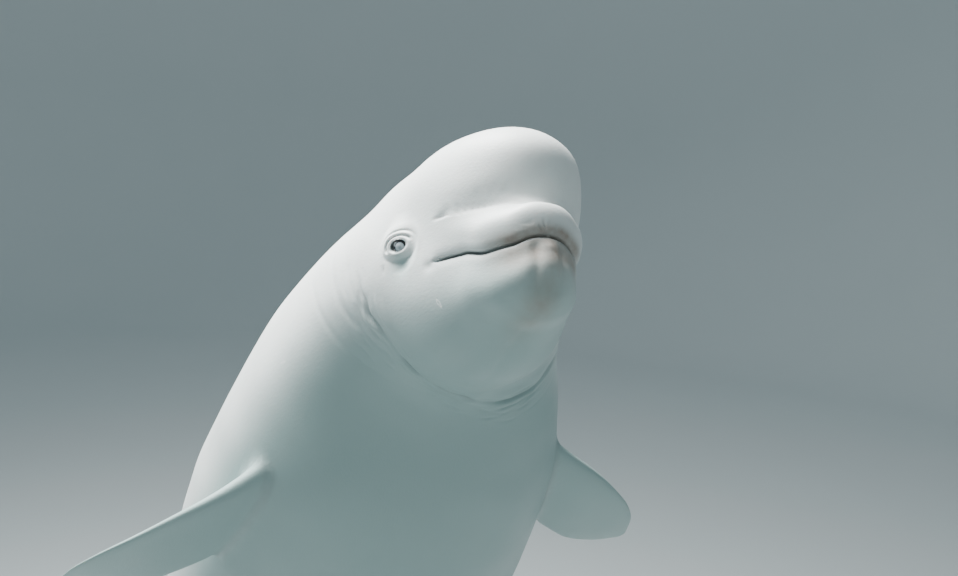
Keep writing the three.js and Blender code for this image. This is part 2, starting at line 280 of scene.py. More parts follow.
@dataclass
class StraightBody:
    """The whale's body without fins, laid out straight, as a field."""

    outline: tuple[tuple[float, float, float, float], ...] = (
        (0.200, 0.020, -0.020, 0.020),
        (0.400, 0.270, -0.130, 0.236),
        (0.560, 0.278, -0.220, 0.305),
        (0.750, 0.284, -0.310, 0.380),
        (0.950, 0.305, -0.362, 0.433),
        (1.200, 0.342, -0.395, 0.463),
        (1.500, 0.372, -0.420, 0.468),
        (2.050, 0.362, -0.405, 0.420),
        (2.550, 0.305, -0.320, 0.320),
        (3.000, 0.232, -0.220, 0.212),
        (3.440, 0.160, -0.125, 0.115),
        (3.780, 0.106, -0.066, 0.058),
        (3.990, 0.064, -0.032, 0.035),
        (4.160, 0.030, 0.000, 0.020),
    )
    roundness: float = 2.15
    mouth_line: Monotone = Monotone(
        (-0.06, 0.0, 0.035, 0.08, 0.14, 0.20, 0.30),
        (-0.001, -0.001, -0.016, -0.018, -0.001, 0.003, 0.003),
    )

    cranium: Blob = Blob((-0.360, 0.0, 0.059), (0.250, 0.187, 0.236))
    melon: Blob = Blob((-0.275, 0.0, 0.180), (0.258, 0.168, 0.123))
    melon_base: Blob = Blob((-0.205, 0.0, 0.120), (0.162, 0.136, 0.076))
    upper_jaw: Blob = Blob((-0.170, 0.0, 0.046), (0.172, 0.127, 0.074))
    lower_jaw: Blob = Blob((-0.190, 0.0, -0.052), (0.188, 0.1085, 0.080))
    lip_fill: Blob = Blob((-0.165, 0.0, 0.000), (0.160, 0.110, 0.050))
    cheek: Blob = Blob((-0.276, 0.032, -0.057), (0.160, 0.096, 0.115))
    eye_mound: Blob = Blob((-0.300, 0.154, 0.067), (0.055, 0.034, 0.044))

    blend_neck: float = 0.090
    blend_melon: float = 0.080
    blend_melon_base: float = 0.050
    blend_cheek: float = 0.070
    blend_mouth: float = 0.016
    blend_fill: float = 0.030
    blend_lip_front: float = 0.036
    blend_lip_back: float = 0.090
    blend_eye: float = 0.026

    ridge_start: float = 1.850
    ridge_end: float = 2.600
    ridge_height: float = 0.022
    ridge_width: float = 0.060

    def __post_init__(self) -> None:
        """Prepares the outline curves of the trunk."""
        s = tuple(row[0] for row in self.outline)
        self.top = Monotone(s, tuple(row[1] for row in self.outline))
        self.bottom = Monotone(s, tuple(row[2] for row in self.outline))
        self.half_width = Monotone(s, tuple(row[3] for row in self.outline))

    def mouth_height(self, x: Array) -> Array:
        """Height of the mouth line at x; it fades out behind the corner."""
        return self.mouth_line(-x) * (1.0 - smoothstep(-x, 0.21, 0.30))

    def middle(self, x: Array) -> Array:
        """Height of the trunk's axis, halfway between back and belly."""
        return (self.top(-x) + self.bottom(-x)) / 2.0

    def trunk(self, x: Array, y: Array, z: Array) -> Array:
        """Field of the trunk: a superellipse whose size follows the outline.

        Args:
            x: Forward coordinate.
            y: Distance from the middle plane.
            z: Upward coordinate.

        Returns:
            Negative inside, with a rounded cap in front.
        """
        width = self.half_width(-x)
        middle = self.middle(x)
        height = (self.top(-x) - self.bottom(-x)) / 2.0
        power = self.roundness
        size = ((y / width) ** power + (np.abs(z - middle) / height) ** power) ** (1.0 / power)
        tube = (size - 1.0) * np.minimum(width, height)
        front = -self.outline[0][0]
        capped = np.hypot(np.maximum(tube, 0.0), x - front)
        return np.where(x > front, capped, tube)

    def ridge(self, x: Array, y: Array, z: Array) -> Array:
        """Height of the low ridge along the back: a bell across, eased in and out along.

        Args:
            x: Forward coordinate.
            y: Distance from the middle plane.
            z: Upward coordinate.

        Returns:
            The height to add, 0 below the axis.
        """
        along = smoothstep(-x, self.ridge_start, self.ridge_start + 0.25)
        fade = 1.0 - smoothstep(-x, self.ridge_end - 0.35, self.ridge_end)
        height = self.ridge_height * along * fade * bell(y, self.ridge_width)
        return np.where(z > 0.0, height, 0.0)

    def field(self, points: Array) -> Array:
        """The whole body's field.

        Args:
            points: Positions in the straight frame, as rows of x, y and z.

        Returns:
            Negative inside the body, zero on its skin.
        """
        x, y, z = points[:, 0], np.abs(points[:, 1]), points[:, 2]
        trunk = self.trunk(x, y, z)
        skull = join(self.cranium.field(x, y, z), trunk, self.blend_neck)
        crown = join(skull, self.melon.field(x, y, z), self.blend_melon)
        crown = join(crown, self.melon_base.field(x, y, z), self.blend_melon_base)
        above = z - self.mouth_height(x)
        upper = self.upper_jaw.field(x, y, above)
        lower = self.lower_jaw.field(x, y, above)
        jaws = join(upper, lower, self.blend_mouth)
        jaws = join(jaws, self.lip_fill.field(x, y, above), self.blend_fill)
        jaws = join(jaws, self.cheek.field(x, y, z), self.blend_cheek)
        back = smoothstep(-x, 0.12, 0.30)
        lip_blend = self.blend_lip_front + (self.blend_lip_back - self.blend_lip_front) * back
        head = join(join(crown, jaws, lip_blend), self.eye_mound.field(x, y, z), self.blend_eye)
        body = np.where(-x < 1.0, head, trunk)
        return body - self.ridge(x, y, z)

    def surface(self, origins: Array, directions: Array) -> Array:
        """Points where rays leave the body, found by halving.

        Args:
            origins: Ray starts inside the body, as rows.
            directions: Unit directions, as rows.

        Returns:
            Points on the skin, as rows.
        """

        def inside(reach: Array) -> Array:
            """Whether the points at these distances are in the body."""
            return self.field(origins + directions * reach[:, None]) < 0.0

        return origins + directions * leaving(inside, len(origins))[:, None]


@dataclass
class Spine:
    """Bends the straight body: pitch all along, with the head turned and rolled a little."""

    pitch_head: float = 29.9
    pitch_trunk: float = 59.5
    pitch_tail: float = 40.0
    yaw_head: float = -3.6
    roll_head: float = -7.3
    neck_bend: tuple[float, float] = (0.360, 0.950)
    tail_bend: tuple[float, float] = (1.900, 3.700)
    step: float = 0.005
    start: float = -0.300

    def __post_init__(self) -> None:
        """Adds up the spine's points, with the anchor distance at the origin."""
        s = np.arange(self.start, BODY_LENGTH + 0.3, self.step)
        forward, _, _ = self.axes(s + self.step / 2.0)
        points = np.vstack([np.zeros(3), np.cumsum(-forward * self.step, axis=0)])
        self.s = self.start + self.step * np.arange(len(points))
        self.points = points - self._at(points, np.array([ANCHOR_S]))
        self.shift = np.zeros(3)

    def _at(self, points: Array, s: Array) -> Array:
        """Place on the spine at each distance s, between its points in proportion."""
        return np.stack([np.interp(s, self.s, points[:, k]) for k in range(3)], axis=1)

    def axes(self, s: Array) -> tuple[Array, Array, Array]:
        """Directions of the body, with pitch, yaw and roll eased along the spine.

        Args:
            s: Distances behind the mouth's tip.

        Returns:
            Forward, left and up, as rows.
        """
        neck = smoothstep(s, *self.neck_bend)
        tail = smoothstep(s, *self.tail_bend)
        pitch = np.radians(
            self.pitch_head
            + (self.pitch_trunk - self.pitch_head) * neck
            + (self.pitch_tail - self.pitch_trunk) * tail
        )
        yaw = math.radians(self.yaw_head) * (1.0 - neck)
        roll = math.radians(self.roll_head) * (1.0 - neck)
        forward = np.stack(
            [np.cos(pitch) * np.cos(yaw), np.cos(pitch) * np.sin(yaw), np.sin(pitch)], axis=1
        )
        level = np.stack([-np.sin(yaw), np.cos(yaw), np.zeros(len(s))], axis=1)
        raised = np.cross(forward, level)
        left = level * np.cos(roll)[:, None] + raised * np.sin(roll)[:, None]
        return forward, left, np.cross(forward, left)

    def bend(self, points: Array) -> Array:
        """Carries points of the straight body into the pose.

        Args:
            points: Positions in the straight frame, as rows.

        Returns:
            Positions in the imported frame, as rows.
        """
        s = -points[:, 0]
        _, left, up = self.axes(s)
        place = self._at(self.points, s)
        return place + left * points[:, 1:2] + up * points[:, 2:3] + self.shift


# Detail of the skin.


@dataclass(frozen=True)
class EyeShape:
    """Place and size of an eye in the straight frame, as on the left side."""

    s: float = 0.297
    z: float = 0.067
    radius: float = 0.022
    proud: float = 0.004
    half_length: float = 0.0190
    half_height: float = 0.0116
    facing: tuple[float, float, float] = (0.50, 0.84, -0.22)
    tilt: float = -8.0

    def ball_centre(self, body: StraightBody, side: Side) -> Array:
        """Centre of the eyeball, set back from the skin.

        Args:
            body: The straight body.
            side: Which eye.

        Returns:
            The centre in the straight frame.
        """
        origin = np.array([[-self.s, 0.0, self.z]])
        skin = body.surface(origin, np.array([[0.0, float(side.value), 0.0]]))[0]
        skin[1] -= side.value * (self.radius - self.proud)
        return skin

    def axes(self) -> Array:
        """The plane of the opening, as on the left side.

        Returns:
            Rows along the opening's length, across it and out of it.
        """
        out = np.array(self.facing) / np.linalg.norm(self.facing)
        ahead = np.array([1.0, 0.0, 0.0]) - out * out[0]
        ahead /= np.linalg.norm(ahead)
        above = np.cross(ahead, out)
        above *= np.sign(above[2])
        c, s = math.cos(math.radians(self.tilt)), math.sin(math.radians(self.tilt))
        return np.stack([c * ahead + s * above, c * above - s * ahead, out])


@dataclass
class SkinDetail:
    """Folds, lids, lips and creases, as heights to add along the skin's normal.

    Each height is a sum of bells: a groove is a negative bell of the distance from its line,
    and a fold a positive one, each with a width in metres.
    """

    body: StraightBody
    eye: EyeShape
    mouth_corner: float = 0.207
    crease_line: Monotone = Monotone(
        (0.02, 0.06, 0.10, 0.15, 0.20),
        (0.071, 0.077, 0.079, 0.084, 0.084),
    )

    blowhole_s: float = 0.405
    blowhole_bow: float = 9.0
    ear_at: tuple[float, float] = (0.338, 0.030)

    def __post_init__(self) -> None:
        """Finds the left eye, which the right one mirrors."""
        self.centre = self.eye.ball_centre(self.body, Side.LEFT)

    def mouth(self, p: Array) -> tuple[Array, Array]:
        """How far each point is from the mouth line.

        Args:
            p: Positions in the straight frame.

        Returns:
            Height above the line, and a fade that is 1 along the mouth and 0 behind it.
        """
        height = p[:, 2] - self.body.mouth_height(p[:, 0])
        fade = 1.0 - smoothstep(-p[:, 0], self.mouth_corner - 0.018, self.mouth_corner + 0.004)
        return height, fade

    def lips(self, p: Array) -> Array:
        """Groove of the closed mouth: a broad bell and a narrow one across its line.

        Args:
            p: Positions in the straight frame, as rows.

        Returns:
            Height to add at each point.
        """
        height, fade = self.mouth(p)
        shallow = 0.0055 * bell(height, 0.011) * (1.0 - 0.4 * smoothstep(-p[:, 0], 0.1, 0.24))
        slit = 0.0100 * bell(height, 0.0030)
        behind = -p[:, 0] - self.mouth_corner
        corner = 0.003 * bell(behind - 0.007, 0.012) * bell(height + 0.006, 0.010)
        return -(shallow + slit) * fade - corner

    def melon_crease(self, p: Array) -> Array:
        """Crease between melon and upper lip, with patchy finer ones above it.

        Args:
            p: Positions in the straight frame, as rows.

        Returns:
            Height to add at each point.
        """
        s = -p[:, 0]
        line = self.crease_line(s)
        off = p[:, 2] - line
        fade = 1.0 - smoothstep(s, 0.165, 0.20)
        total = 0.0040 * bell(off, 0.0036) * fade
        front = 1.0 - smoothstep(s, 0.06, 0.13)
        for k, (place, depth) in enumerate(((0.018, 0.0018), (0.027, 0.0014), (0.038, 0.0010))):
            drift = 0.10 * s + 0.0030 * ripple(p, 0.06, 80 + k)
            patchy = np.clip(0.55 + 0.8 * ripple(p, 0.05, 90 + k), 0.0, 1.0)
            total += depth * patchy * front * bell(off - place - drift, 0.0024)
        return -total

    def eye_plane(self, p: Array) -> tuple[Array, Array, Array, Array]:
        """Coordinates round the nearer eye, in the plane of its opening.

        Args:
            p: Positions in the straight frame.

        Returns:
            Offset along the opening, across it and out of it, and 1 near it, 0 elsewhere.
        """
        q = np.stack([p[:, 0], np.abs(p[:, 1]), p[:, 2]], axis=1) - self.centre
        u, v, w = self.eye.axes() @ q.T
        near = np.where((np.abs(p[:, 1]) > 0.10) & (np.linalg.norm(q, axis=1) < 0.10), 1.0, 0.0)
        return u, v, w, near

    def eye_ring(self, u: Array, v: Array) -> Array:
        """1 on the edge of the eye's opening, less inside it and more outside."""
        return np.hypot(u / self.eye.half_length, v / self.eye.half_height)

    def lids(self, p: Array) -> Array:
        """Both lids: a rim that hugs the ball, folds above, a full pouch below.

        Args:
            p: Positions on the plain surface, in the straight frame.

        Returns:
            How far to move each point, as rows.
        """
        u, v, w, near = self.eye_plane(p)
        ring = self.eye_ring(u, v)
        upper = smoothstep(v - 0.25 * u, -0.006, 0.006)
        lower = 1.0 - upper
        ball = np.sqrt(np.maximum(self.eye.radius**2 - u * u - v * v, 0.0156**2))
        rim = ball + 0.0012 * lower + 0.0034 * upper
        level = 0.0185 - 0.10 * np.hypot(u, v)
        fold = 0.0030 * bell(ring - 1.35, 0.26) * (0.75 + 0.25 * upper)
        fold -= 0.0030 * bell(ring - 1.78, 0.13) * upper
        fold += 0.0022 * bell(ring - 2.15, 0.24) * upper
        fold -= 0.0018 * bell(ring - 2.62, 0.16) * upper
        fold += 0.0034 * bell(ring - 1.75, 0.45) * lower
        fold -= 0.0026 * bell(ring - 2.75, 0.30) * lower
        away = smoothstep(ring, 1.0, 1.30)
        lid = rim * (1.0 - away) + (level + fold) * away
        target = -0.002 + (lid + 0.002) * smoothstep(ring, 0.86, 0.99)
        hold = 1.0 - smoothstep(np.hypot(u, v), 0.030, 0.062)
        move = (target - w) * hold * near
        out = self.eye.axes()[2] * np.stack([np.ones(len(p)), np.sign(p[:, 1]), np.ones(len(p))], 1)
        return out * move[:, None]

    def under_eye(self, p: Array) -> Array:
        """Soft hollow below the lower lid."""
        u, v, _, near = self.eye_plane(p)
        return -0.0050 * bell(np.hypot(u - 0.002, (v + 0.044) * 1.1), 0.021) * near

    def throat_line(self, p: Array) -> tuple[Array, Array]:
        """Where the main fold between throat and chest runs.

        Args:
            p: Positions in the straight frame.

        Returns:
            Distance behind the fold, and how deep it is: up to 1.2 underneath, 0 on top.
        """
        around = np.degrees(np.arctan2(p[:, 1], -(p[:, 2] - 0.01)))
        line = 0.459 + 0.056 * np.tanh(around / 26.0)
        wander = 0.0058 * ripple(p, 0.11, 5) + 0.0026 * ripple(p, 0.040, 6)
        fade = 1.0 - smoothstep(np.abs(around), 62.0, 112.0)
        deep = np.clip(0.80 + 0.65 * ripple(p, 0.09, 7), 0.20, 1.2)
        return -p[:, 0] - line + wander, fade * deep

    def throat(self, p: Array) -> Array:
        """Main throat fold and the fine, broken wrinkles on both sides of it.

        Args:
            p: Positions in the straight frame, as rows.

        Returns:
            Height to add at each point.
        """
        off, deep = self.throat_line(p)
        main = -0.0062 * bell(off, 0.0038) + 0.0036 * bell(off + 0.026, 0.018)
        main += 0.0030 * bell(off - 0.012, 0.008)
        fine = np.zeros(len(p))
        for k, (place, depth) in enumerate(
            (
                (0.012, 0.0034),
                (0.022, 0.0036),
                (0.034, 0.0030),
                (0.048, 0.0024),
                (0.066, 0.0018),
                (-0.010, 0.0024),
                (-0.021, 0.0016),
            )
        ):
            drift = 0.0054 * ripple(p, 0.07, 20 + k)
            strength = np.clip(0.45 + 1.0 * ripple(p, 0.08, 40 + k), 0.0, 1.0)
            fine -= depth * strength * bell(off - place - drift, 0.0026)
        return main * deep + fine * np.sqrt(deep)

    def neck(self, p: Array) -> Array:
        """Soft slanting creases on the side of the neck, behind the eye and cheek.

        Args:
            p: Positions in the straight frame, as rows.

        Returns:
            Height to add at each point.
        """
        s = -p[:, 0]
        side = bell(p[:, 2] + 0.02, 0.11)
        total = np.zeros(len(p))
        for k, (place, depth) in enumerate(((0.415, 0.0016), (0.455, 0.0020), (0.52, 0.0014))):
            slant = place + 0.25 * (p[:, 2] + 0.02) + 0.004 * ripple(p, 0.14, 60 + k)
            total -= depth * bell(s - slant, 0.007)
        return total * side

    def chin(self, p: Array) -> Array:
        """Keel along the middle of the lower jaw, with a dent each side of its front.

        Args:
            p: Positions in the straight frame, as rows.

        Returns:
            Height to add at each point.
        """
        height, _ = self.mouth(p)
        below = smoothstep(-height, 0.004, 0.022)
        s = -p[:, 0]
        keel = 0.0026 * bell(p[:, 1], 0.017) * below * (1.0 - smoothstep(s, 0.05, 0.24))
        dent = 0.0036 * bell(np.abs(p[:, 1]) - 0.027, 0.010) * below
        dent = dent * (1.0 - smoothstep(s, 0.012, 0.06))
        knob = 0.0030 * bell(np.hypot(p[:, 1] * 0.8, height + 0.020), 0.014)
        return keel - dent + knob * (1.0 - smoothstep(s, 0.03, 0.08))

    def lip_wrinkles(self, p: Array) -> Array:
        """Short wrinkles above the mouth's front: a sine of the angle round it.

        Args:
            p: Positions in the straight frame, as rows.

        Returns:
            Height to add at each point.
        """
        height, _ = self.mouth(p)
        angle = np.arctan2(p[:, 1], height + 0.05)
        zone = bell(height - 0.015, 0.011) * bell(p[:, 1] + 0.006, 0.040)
        zone = zone * (1.0 - smoothstep(-p[:, 0], 0.04, 0.08))
        patchy = np.clip(0.4 + ripple(p, 0.022, 9), 0.0, 1.0)
        fan = np.clip(np.sin(angle * 34.0 + 3.2 * ripple(p, 0.035, 8)), 0.0, 1.0)
        return -0.0032 * zone * patchy * fan

    def blowhole_line(self, p: Array) -> Array:
        """Distance behind the blowhole's bow, a parabola across the top of the head."""
        return -p[:, 0] - self.blowhole_s + self.blowhole_bow * p[:, 1] * p[:, 1]

    def ear_distance(self, p: Array) -> Array:
        """Distance from the ear, seen from the side."""
        return np.hypot(p[:, 0] + self.ear_at[0], p[:, 2] - self.ear_at[1])

    def blowhole(self, p: Array) -> Array:
        """Bowed blowhole on top of the head, on a slight mound behind a dip.

        Args:
            p: Positions in the straight frame, as rows.

        Returns:
            Height to add at each point.
        """
        s = -p[:, 0]
        y = p[:, 1]
        on_top = np.where(p[:, 2] > 0.1, 1.0, 0.0)
        bow = self.blowhole_line(p)
        slit = 0.0065 * bell(bow, 0.0035) * (1.0 - smoothstep(np.abs(y), 0.018, 0.030))
        mound = 0.006 * bell(np.hypot(s - self.blowhole_s, y), 0.045)
        dip = 0.006 * bell(np.hypot((s - 0.34) * 1.2, y * 0.7), 0.055)
        return (mound - slit - dip) * on_top

    def ear(self, p: Array) -> Array:
        """Pinhole ear a little behind and below the eye."""
        on_side = np.where(np.abs(p[:, 1]) > 0.12, 1.0, 0.0)
        return -0.0025 * bell(self.ear_distance(p), 0.0035) * on_side

    def belly(self, p: Array) -> Array:
        """Navel and the two slits along the middle of the underside.

        Args:
            p: Positions in the straight frame, as rows.

        Returns:
            Height to add at each point.
        """
        s = -p[:, 0]
        below = np.where(p[:, 2] < self.body.middle(p[:, 0]), 1.0, 0.0)
        marks = 0.7 * bell(np.hypot(s - 2.02, p[:, 1]), 0.018)
        for start, end in ((2.60, 2.78), (2.87, 2.94)):
            marks += bell(p[:, 1], 0.010) * bell((2.0 * s - start - end) / (end - start), 0.9)
        return -0.006 * marks * below

    def lumps(self, p: Array) -> Array:
        """Soft unevenness of the blubber: ripples of three wavelengths.

        Args:
            p: Positions in the straight frame, as rows.

        Returns:
            Height to add at each point.
        """
        body = smoothstep(-p[:, 0], 0.30, 0.80)
        thin = 1.0 - smoothstep(-p[:, 0], 3.2, 4.0)
        broad = 0.0035 * ripple(p, 0.55, 2) + 0.0014 * ripple(p, 0.20, 3)
        return broad * body * thin + 0.0006 * ripple(p, 0.09, 4) * (1.0 - body)

    def height(self, p: Array) -> Array:
        """All detail added up.

        Args:
            p: Positions on the plain surface, in the straight frame.

        Returns:
            How far to move each point outward.
        """
        parts = (
            self.lips,
            self.melon_crease,
            self.under_eye,
            self.throat,
            self.neck,
            self.chin,
            self.lip_wrinkles,
            self.blowhole,
            self.ear,
            self.belly,
            self.lumps,
        )
        return sum(part(p) for part in parts)


# Meshes.


def spread(start: float, end: float, count: int) -> Array:
    """Evenly spaced values from start up to, not including, end."""
    return start + (end - start) * np.arange(count) / count


@dataclass
class BodyGrid:
    """Samples the straight body on rings, closer together where detail needs it."""

    body: StraightBody
    detail: SkinDetail
    upper_columns: int = 150
    lower_columns: int = 96

    @staticmethod
    def _columns(start: float, count: int, eyes: bool) -> Array:
        """Angles over half a turn, crowded towards the mouth line and the eyes.

        Args:
            start: First angle, in degrees.
            count: Number of angles.
            eyes: Whether to crowd the angles at eye height too.

        Returns:
            Angles in radians, spaced so that each step spans the same share of the density.
        """
        fine = np.linspace(0.0, 180.0, 7201)
        mouth = np.exp(-fine / 1.4) + np.exp(-(180.0 - fine) / 1.4)
        density = 1.0 + 9.0 * mouth
        if eyes:
            window = smoothstep(fine, 9.0, 12.0) * (1.0 - smoothstep(fine, 27.0, 31.0))
            density += 6.5 * (window + window[::-1])
        total = np.concatenate([[0.0], np.cumsum((density[1:] + density[:-1]) / 2.0)])
        at = np.interp(np.arange(count) / count * total[-1], total, fine)
        return np.radians(start + at)

    def angles(self) -> Array:
        """Angle of every column, from the left corner of the mouth over the top.

        Returns:
            Angles in radians.
        """
        upper = self._columns(0.0, self.upper_columns, eyes=True)
        lower = self._columns(180.0, self.lower_columns, eyes=False)
        return np.concatenate([upper, lower])

    def rays(self) -> tuple[Array, Array]:
        """Origins and directions of all rays, ring by ring from the mouth to the tail.

        Returns:
            Two arrays of shape (rings, columns, 3).
        """
        tilt = np.radians(np.concatenate([spread(1.2, 12.0, 12), spread(12.0, 90.0, 54)]))
        s = np.concatenate(
            [
                spread(0.230, 0.266, 14),
                spread(0.266, 0.334, 62),
                spread(0.334, 0.380, 14),
                spread(0.380, 0.600, 64),
                spread(0.600, 1.200, 40),
                spread(1.200, 4.160, 76),
                [4.160],
            ]
        )
        angle = self.angles()
        rings = len(tilt) + len(s)
        origins = np.zeros((rings, len(angle), 3))
        directions = np.zeros_like(origins)
        full = np.concatenate([tilt, np.full(len(s), math.pi / 2.0)])
        directions[..., 0] = np.cos(full)[:, None]
        directions[..., 1] = np.sin(full)[:, None] * np.cos(angle)
        directions[..., 2] = np.sin(full)[:, None] * np.sin(angle)
        origins[: len(tilt), :, 0] = RAY_CENTRE_X
        origins[len(tilt) :, :, 0] = -s[:, None]
        axis = self.body.middle(-s) * smoothstep(s, 0.5, 1.2)
        origins[len(tilt) :, :, 2] = axis[:, None]
        return origins, directions

    def _lowered(self, points: Array) -> Array:
        """Moves points from the grid's level mouth to the real, waving mouth line.

        Args:
            points: Positions, as rows.

        Returns:
            The moved positions.
        """
        moved = points.copy()
        moved[:, 2] += self.body.mouth_height(points[:, 0])
        return moved

    def _hit(self, origins: Array, directions: Array) -> Array:
        """Where rays of the levelled grid leave the real body.

        Args:
            origins: Ray starts, as rows.
            directions: Unit directions, as rows.

        Returns:
            Points on the skin, as rows.
        """

        def inside(reach: Array) -> Array:
            """Whether the lowered points at these distances are in the body."""
            at = self._lowered(origins + directions * reach[:, None])
            return self.body.field(at) < 0.0

        return self._lowered(origins + directions * leaving(inside, len(origins))[:, None])

    def build(self) -> tuple[Array, Array]:
        """Samples the skin with all its detail.

        Returns:
            Vertices and quads. The two ends are closed with a fan of triangles, given as
            quads whose last two corners are the same.
        """
        origins, directions = self.rays()
        rings, columns, _ = origins.shape
        plain = self._hit(origins.reshape(-1, 3), directions.reshape(-1, 3))
        grid = plain.reshape(rings, columns, 3)
        along = np.gradient(grid, axis=0)
        around = np.roll(grid, -1, axis=1) - np.roll(grid, 1, axis=1)
        normal = np.cross(around, along).reshape(-1, 3)
        normal /= np.maximum(np.linalg.norm(normal, axis=1, keepdims=True), 1e-12)
        outward = np.sign(np.einsum("ij,ij->i", normal, directions.reshape(-1, 3)))
        normal *= outward[:, None]
        skin = plain + normal * self.detail.height(plain)[:, None] + self.detail.lids(plain)
        tip = (skin[0] + skin[self.upper_columns]) / 2.0
        tail = skin[-columns:].mean(axis=0) - np.array([0.008, 0.0, 0.0])
        vertices = np.vstack([skin, tip, tail])
        return vertices, ring_faces(rings, columns, len(skin), len(skin) + 1)


def ring_faces(rings: int, columns: int, first: int, last: int) -> Array:
    """Faces of a tube of rings closed by a point at each end.

    Args:
        rings: Number of rings.
        columns: Points on each ring.
        first: Index of the point before the first ring.
        last: Index of the point behind the last ring.

    Returns:
        Rows of four indices; a triangle repeats its last one.
    """
    i, j = np.meshgrid(np.arange(rings - 1), np.arange(columns), indexing="ij")
    k = (j + 1) % columns
    quads = np.stack(
        [i * columns + j, (i + 1) * columns + j, (i + 1) * columns + k, i * columns + k], -1
    ).reshape(-1, 4)
    c = np.arange(columns)
    n = (c + 1) % columns
    start = np.stack([np.full(columns, first), c, n, n], -1)
    base = (rings - 1) * columns
    end = np.stack([np.full(columns, last), base + n, base + c, base + c], -1)
    return np.vstack([quads, start, end])


def turned(faces: Array) -> Array:
    """The same faces seen from the other side: each row's corners in the reverse order.

    Args:
        faces: Rows of four indices; a triangle repeats its last one.

    Returns:
        Rows of the same kind.
    """
    triangle = faces[:, 2] == faces[:, 3]
    flipped = faces[:, ::-1].copy()
    flipped[triangle] = faces[triangle][:, [1, 0, 2, 2]]
    return flipped


def make_object(name: str, vertices: Array, faces: Array, smooth: bool = True) -> bpy.types.Object:
    """Makes an object at the origin from arrays.

    Args:
        name: Name of the object and its mesh.
        vertices: Positions, as rows.
        faces: Rows of four indices; a triangle repeats its last one.
        smooth: Whether faces are shaded smooth.

    Returns:
        The new object, linked to the scene.
    """
    triangle = faces[:, 2] == faces[:, 3]
    count = np.where(triangle, 3, 4)
    start = np.concatenate([[0], np.cumsum(count)[:-1]])
    keep = np.ones(faces.shape, bool)
    keep[triangle, 3] = False
    mesh = bpy.data.meshes.new(name)
    mesh.vertices.add(len(vertices))
    mesh.loops.add(int(count.sum()))
    mesh.polygons.add(len(faces))
    mesh.vertices.foreach_set("co", vertices.astype(np.float32).ravel())
    mesh.loops.foreach_set("vertex_index", faces[keep].astype(np.int32))
    mesh.polygons.foreach_set("loop_start", start.astype(np.int32))
    mesh.polygons.foreach_set("use_smooth", np.full(len(faces), smooth))
    mesh.update(calc_edges=True)
    mesh.validate()
    made = bpy.data.objects.new(name, mesh)
    bpy.context.scene.collection.objects.link(made)
    return made


def read_vertices(mesh: bpy.types.Mesh) -> Array:
    """Vertex positions of a mesh.

    Args:
        mesh: Mesh to read.

    Returns:
        Rows of x, y and z.
    """
    flat = np.empty(len(mesh.vertices) * 3, np.float32)
    mesh.vertices.foreach_get("co", flat)
    return flat.reshape(-1, 3).astype(float)


def read_edges(mesh: bpy.types.Mesh) -> Array:
    """Edges of a mesh.

    Args:
        mesh: Mesh to read.

    Returns:
        Rows of two vertex indices.
    """
    flat = np.empty(len(mesh.edges) * 2, np.int32)
    mesh.edges.foreach_get("vertices", flat)
    return flat.reshape(-1, 2)


def set_attribute(mesh: bpy.types.Mesh, name: str, values: Array) -> None:
    """Stores one number or one vector for each vertex.

    Args:
        mesh: Mesh that gets the attribute.
        name: Name that the material reads.
        values: One value, or a row of three, for each vertex.
    """
    if values.ndim == 1:
        layer = mesh.attributes.new(name, "FLOAT", "POINT")
        layer.data.foreach_set("value", values.astype(np.float32))
        return
    layer = mesh.attributes.new(name, "FLOAT_VECTOR", "POINT")
    layer.data.foreach_set("vector", values.astype(np.float32).ravel())


# Fins.


@dataclass(kw_only=True)
class Fin:
    """A flipper or fluke in the straight frame: rings of a section along its span."""

    rings: int = 44
    points: int = 40

    def section(self, front: Array, rear: Array, thickness: Array) -> tuple[Array, Array]:
        """Points round each section: a blunt front edge and a thin rear edge.

        Args:
            front: Forward edge at each step along the span.
            rear: Rear edge at each step.
            thickness: Greatest thickness at each step.

        Returns:
            Place along the chord and across it, each of shape (rings, points).
        """
        angle = spread(0.0, 2.0 * math.pi, self.points)
        forward = (1.0 + np.cos(angle)) / 2.0
        bulge = np.sin(angle) * np.sqrt(0.2 + 0.8 * forward)
        along = rear[:, None] + (front - rear)[:, None] * forward
        return along, bulge * thickness[:, None] / 2.0

    def steps(self) -> Array:
        """Steps along the span, closer together at the tip."""
        return np.sin(np.linspace(0.0, 0.985, self.rings) * math.pi / 2.0) ** 0.9

    def close(self, rings: Array, first: Array, last: Array) -> tuple[Array, Array]:
        """Closes rings of points into a mesh.

        Args:
            rings: Points of shape (rings, points, 3).
            first: Point at the root.
            last: Point at the tip.

        Returns:
            Vertices and faces that face outward.
        """
        count = rings.shape[0] * rings.shape[1]
        vertices = np.vstack([rings.reshape(-1, 3), first, last])
        faces = ring_faces(rings.shape[0], rings.shape[1], count, count + 1)
        a, b, c = (vertices[faces[:, k]] for k in range(3))
        volume = np.einsum("ij,ij->i", a, np.cross(b, c)).sum()
        quad = faces[:, 2] != faces[:, 3]
        a, b, c = (vertices[faces[quad][:, k]] for k in (0, 2, 3))
        volume += np.einsum("ij,ij->i", a, np.cross(b, c)).sum()
        if volume > 0.0:
            return vertices, faces
        return vertices, turned(faces)


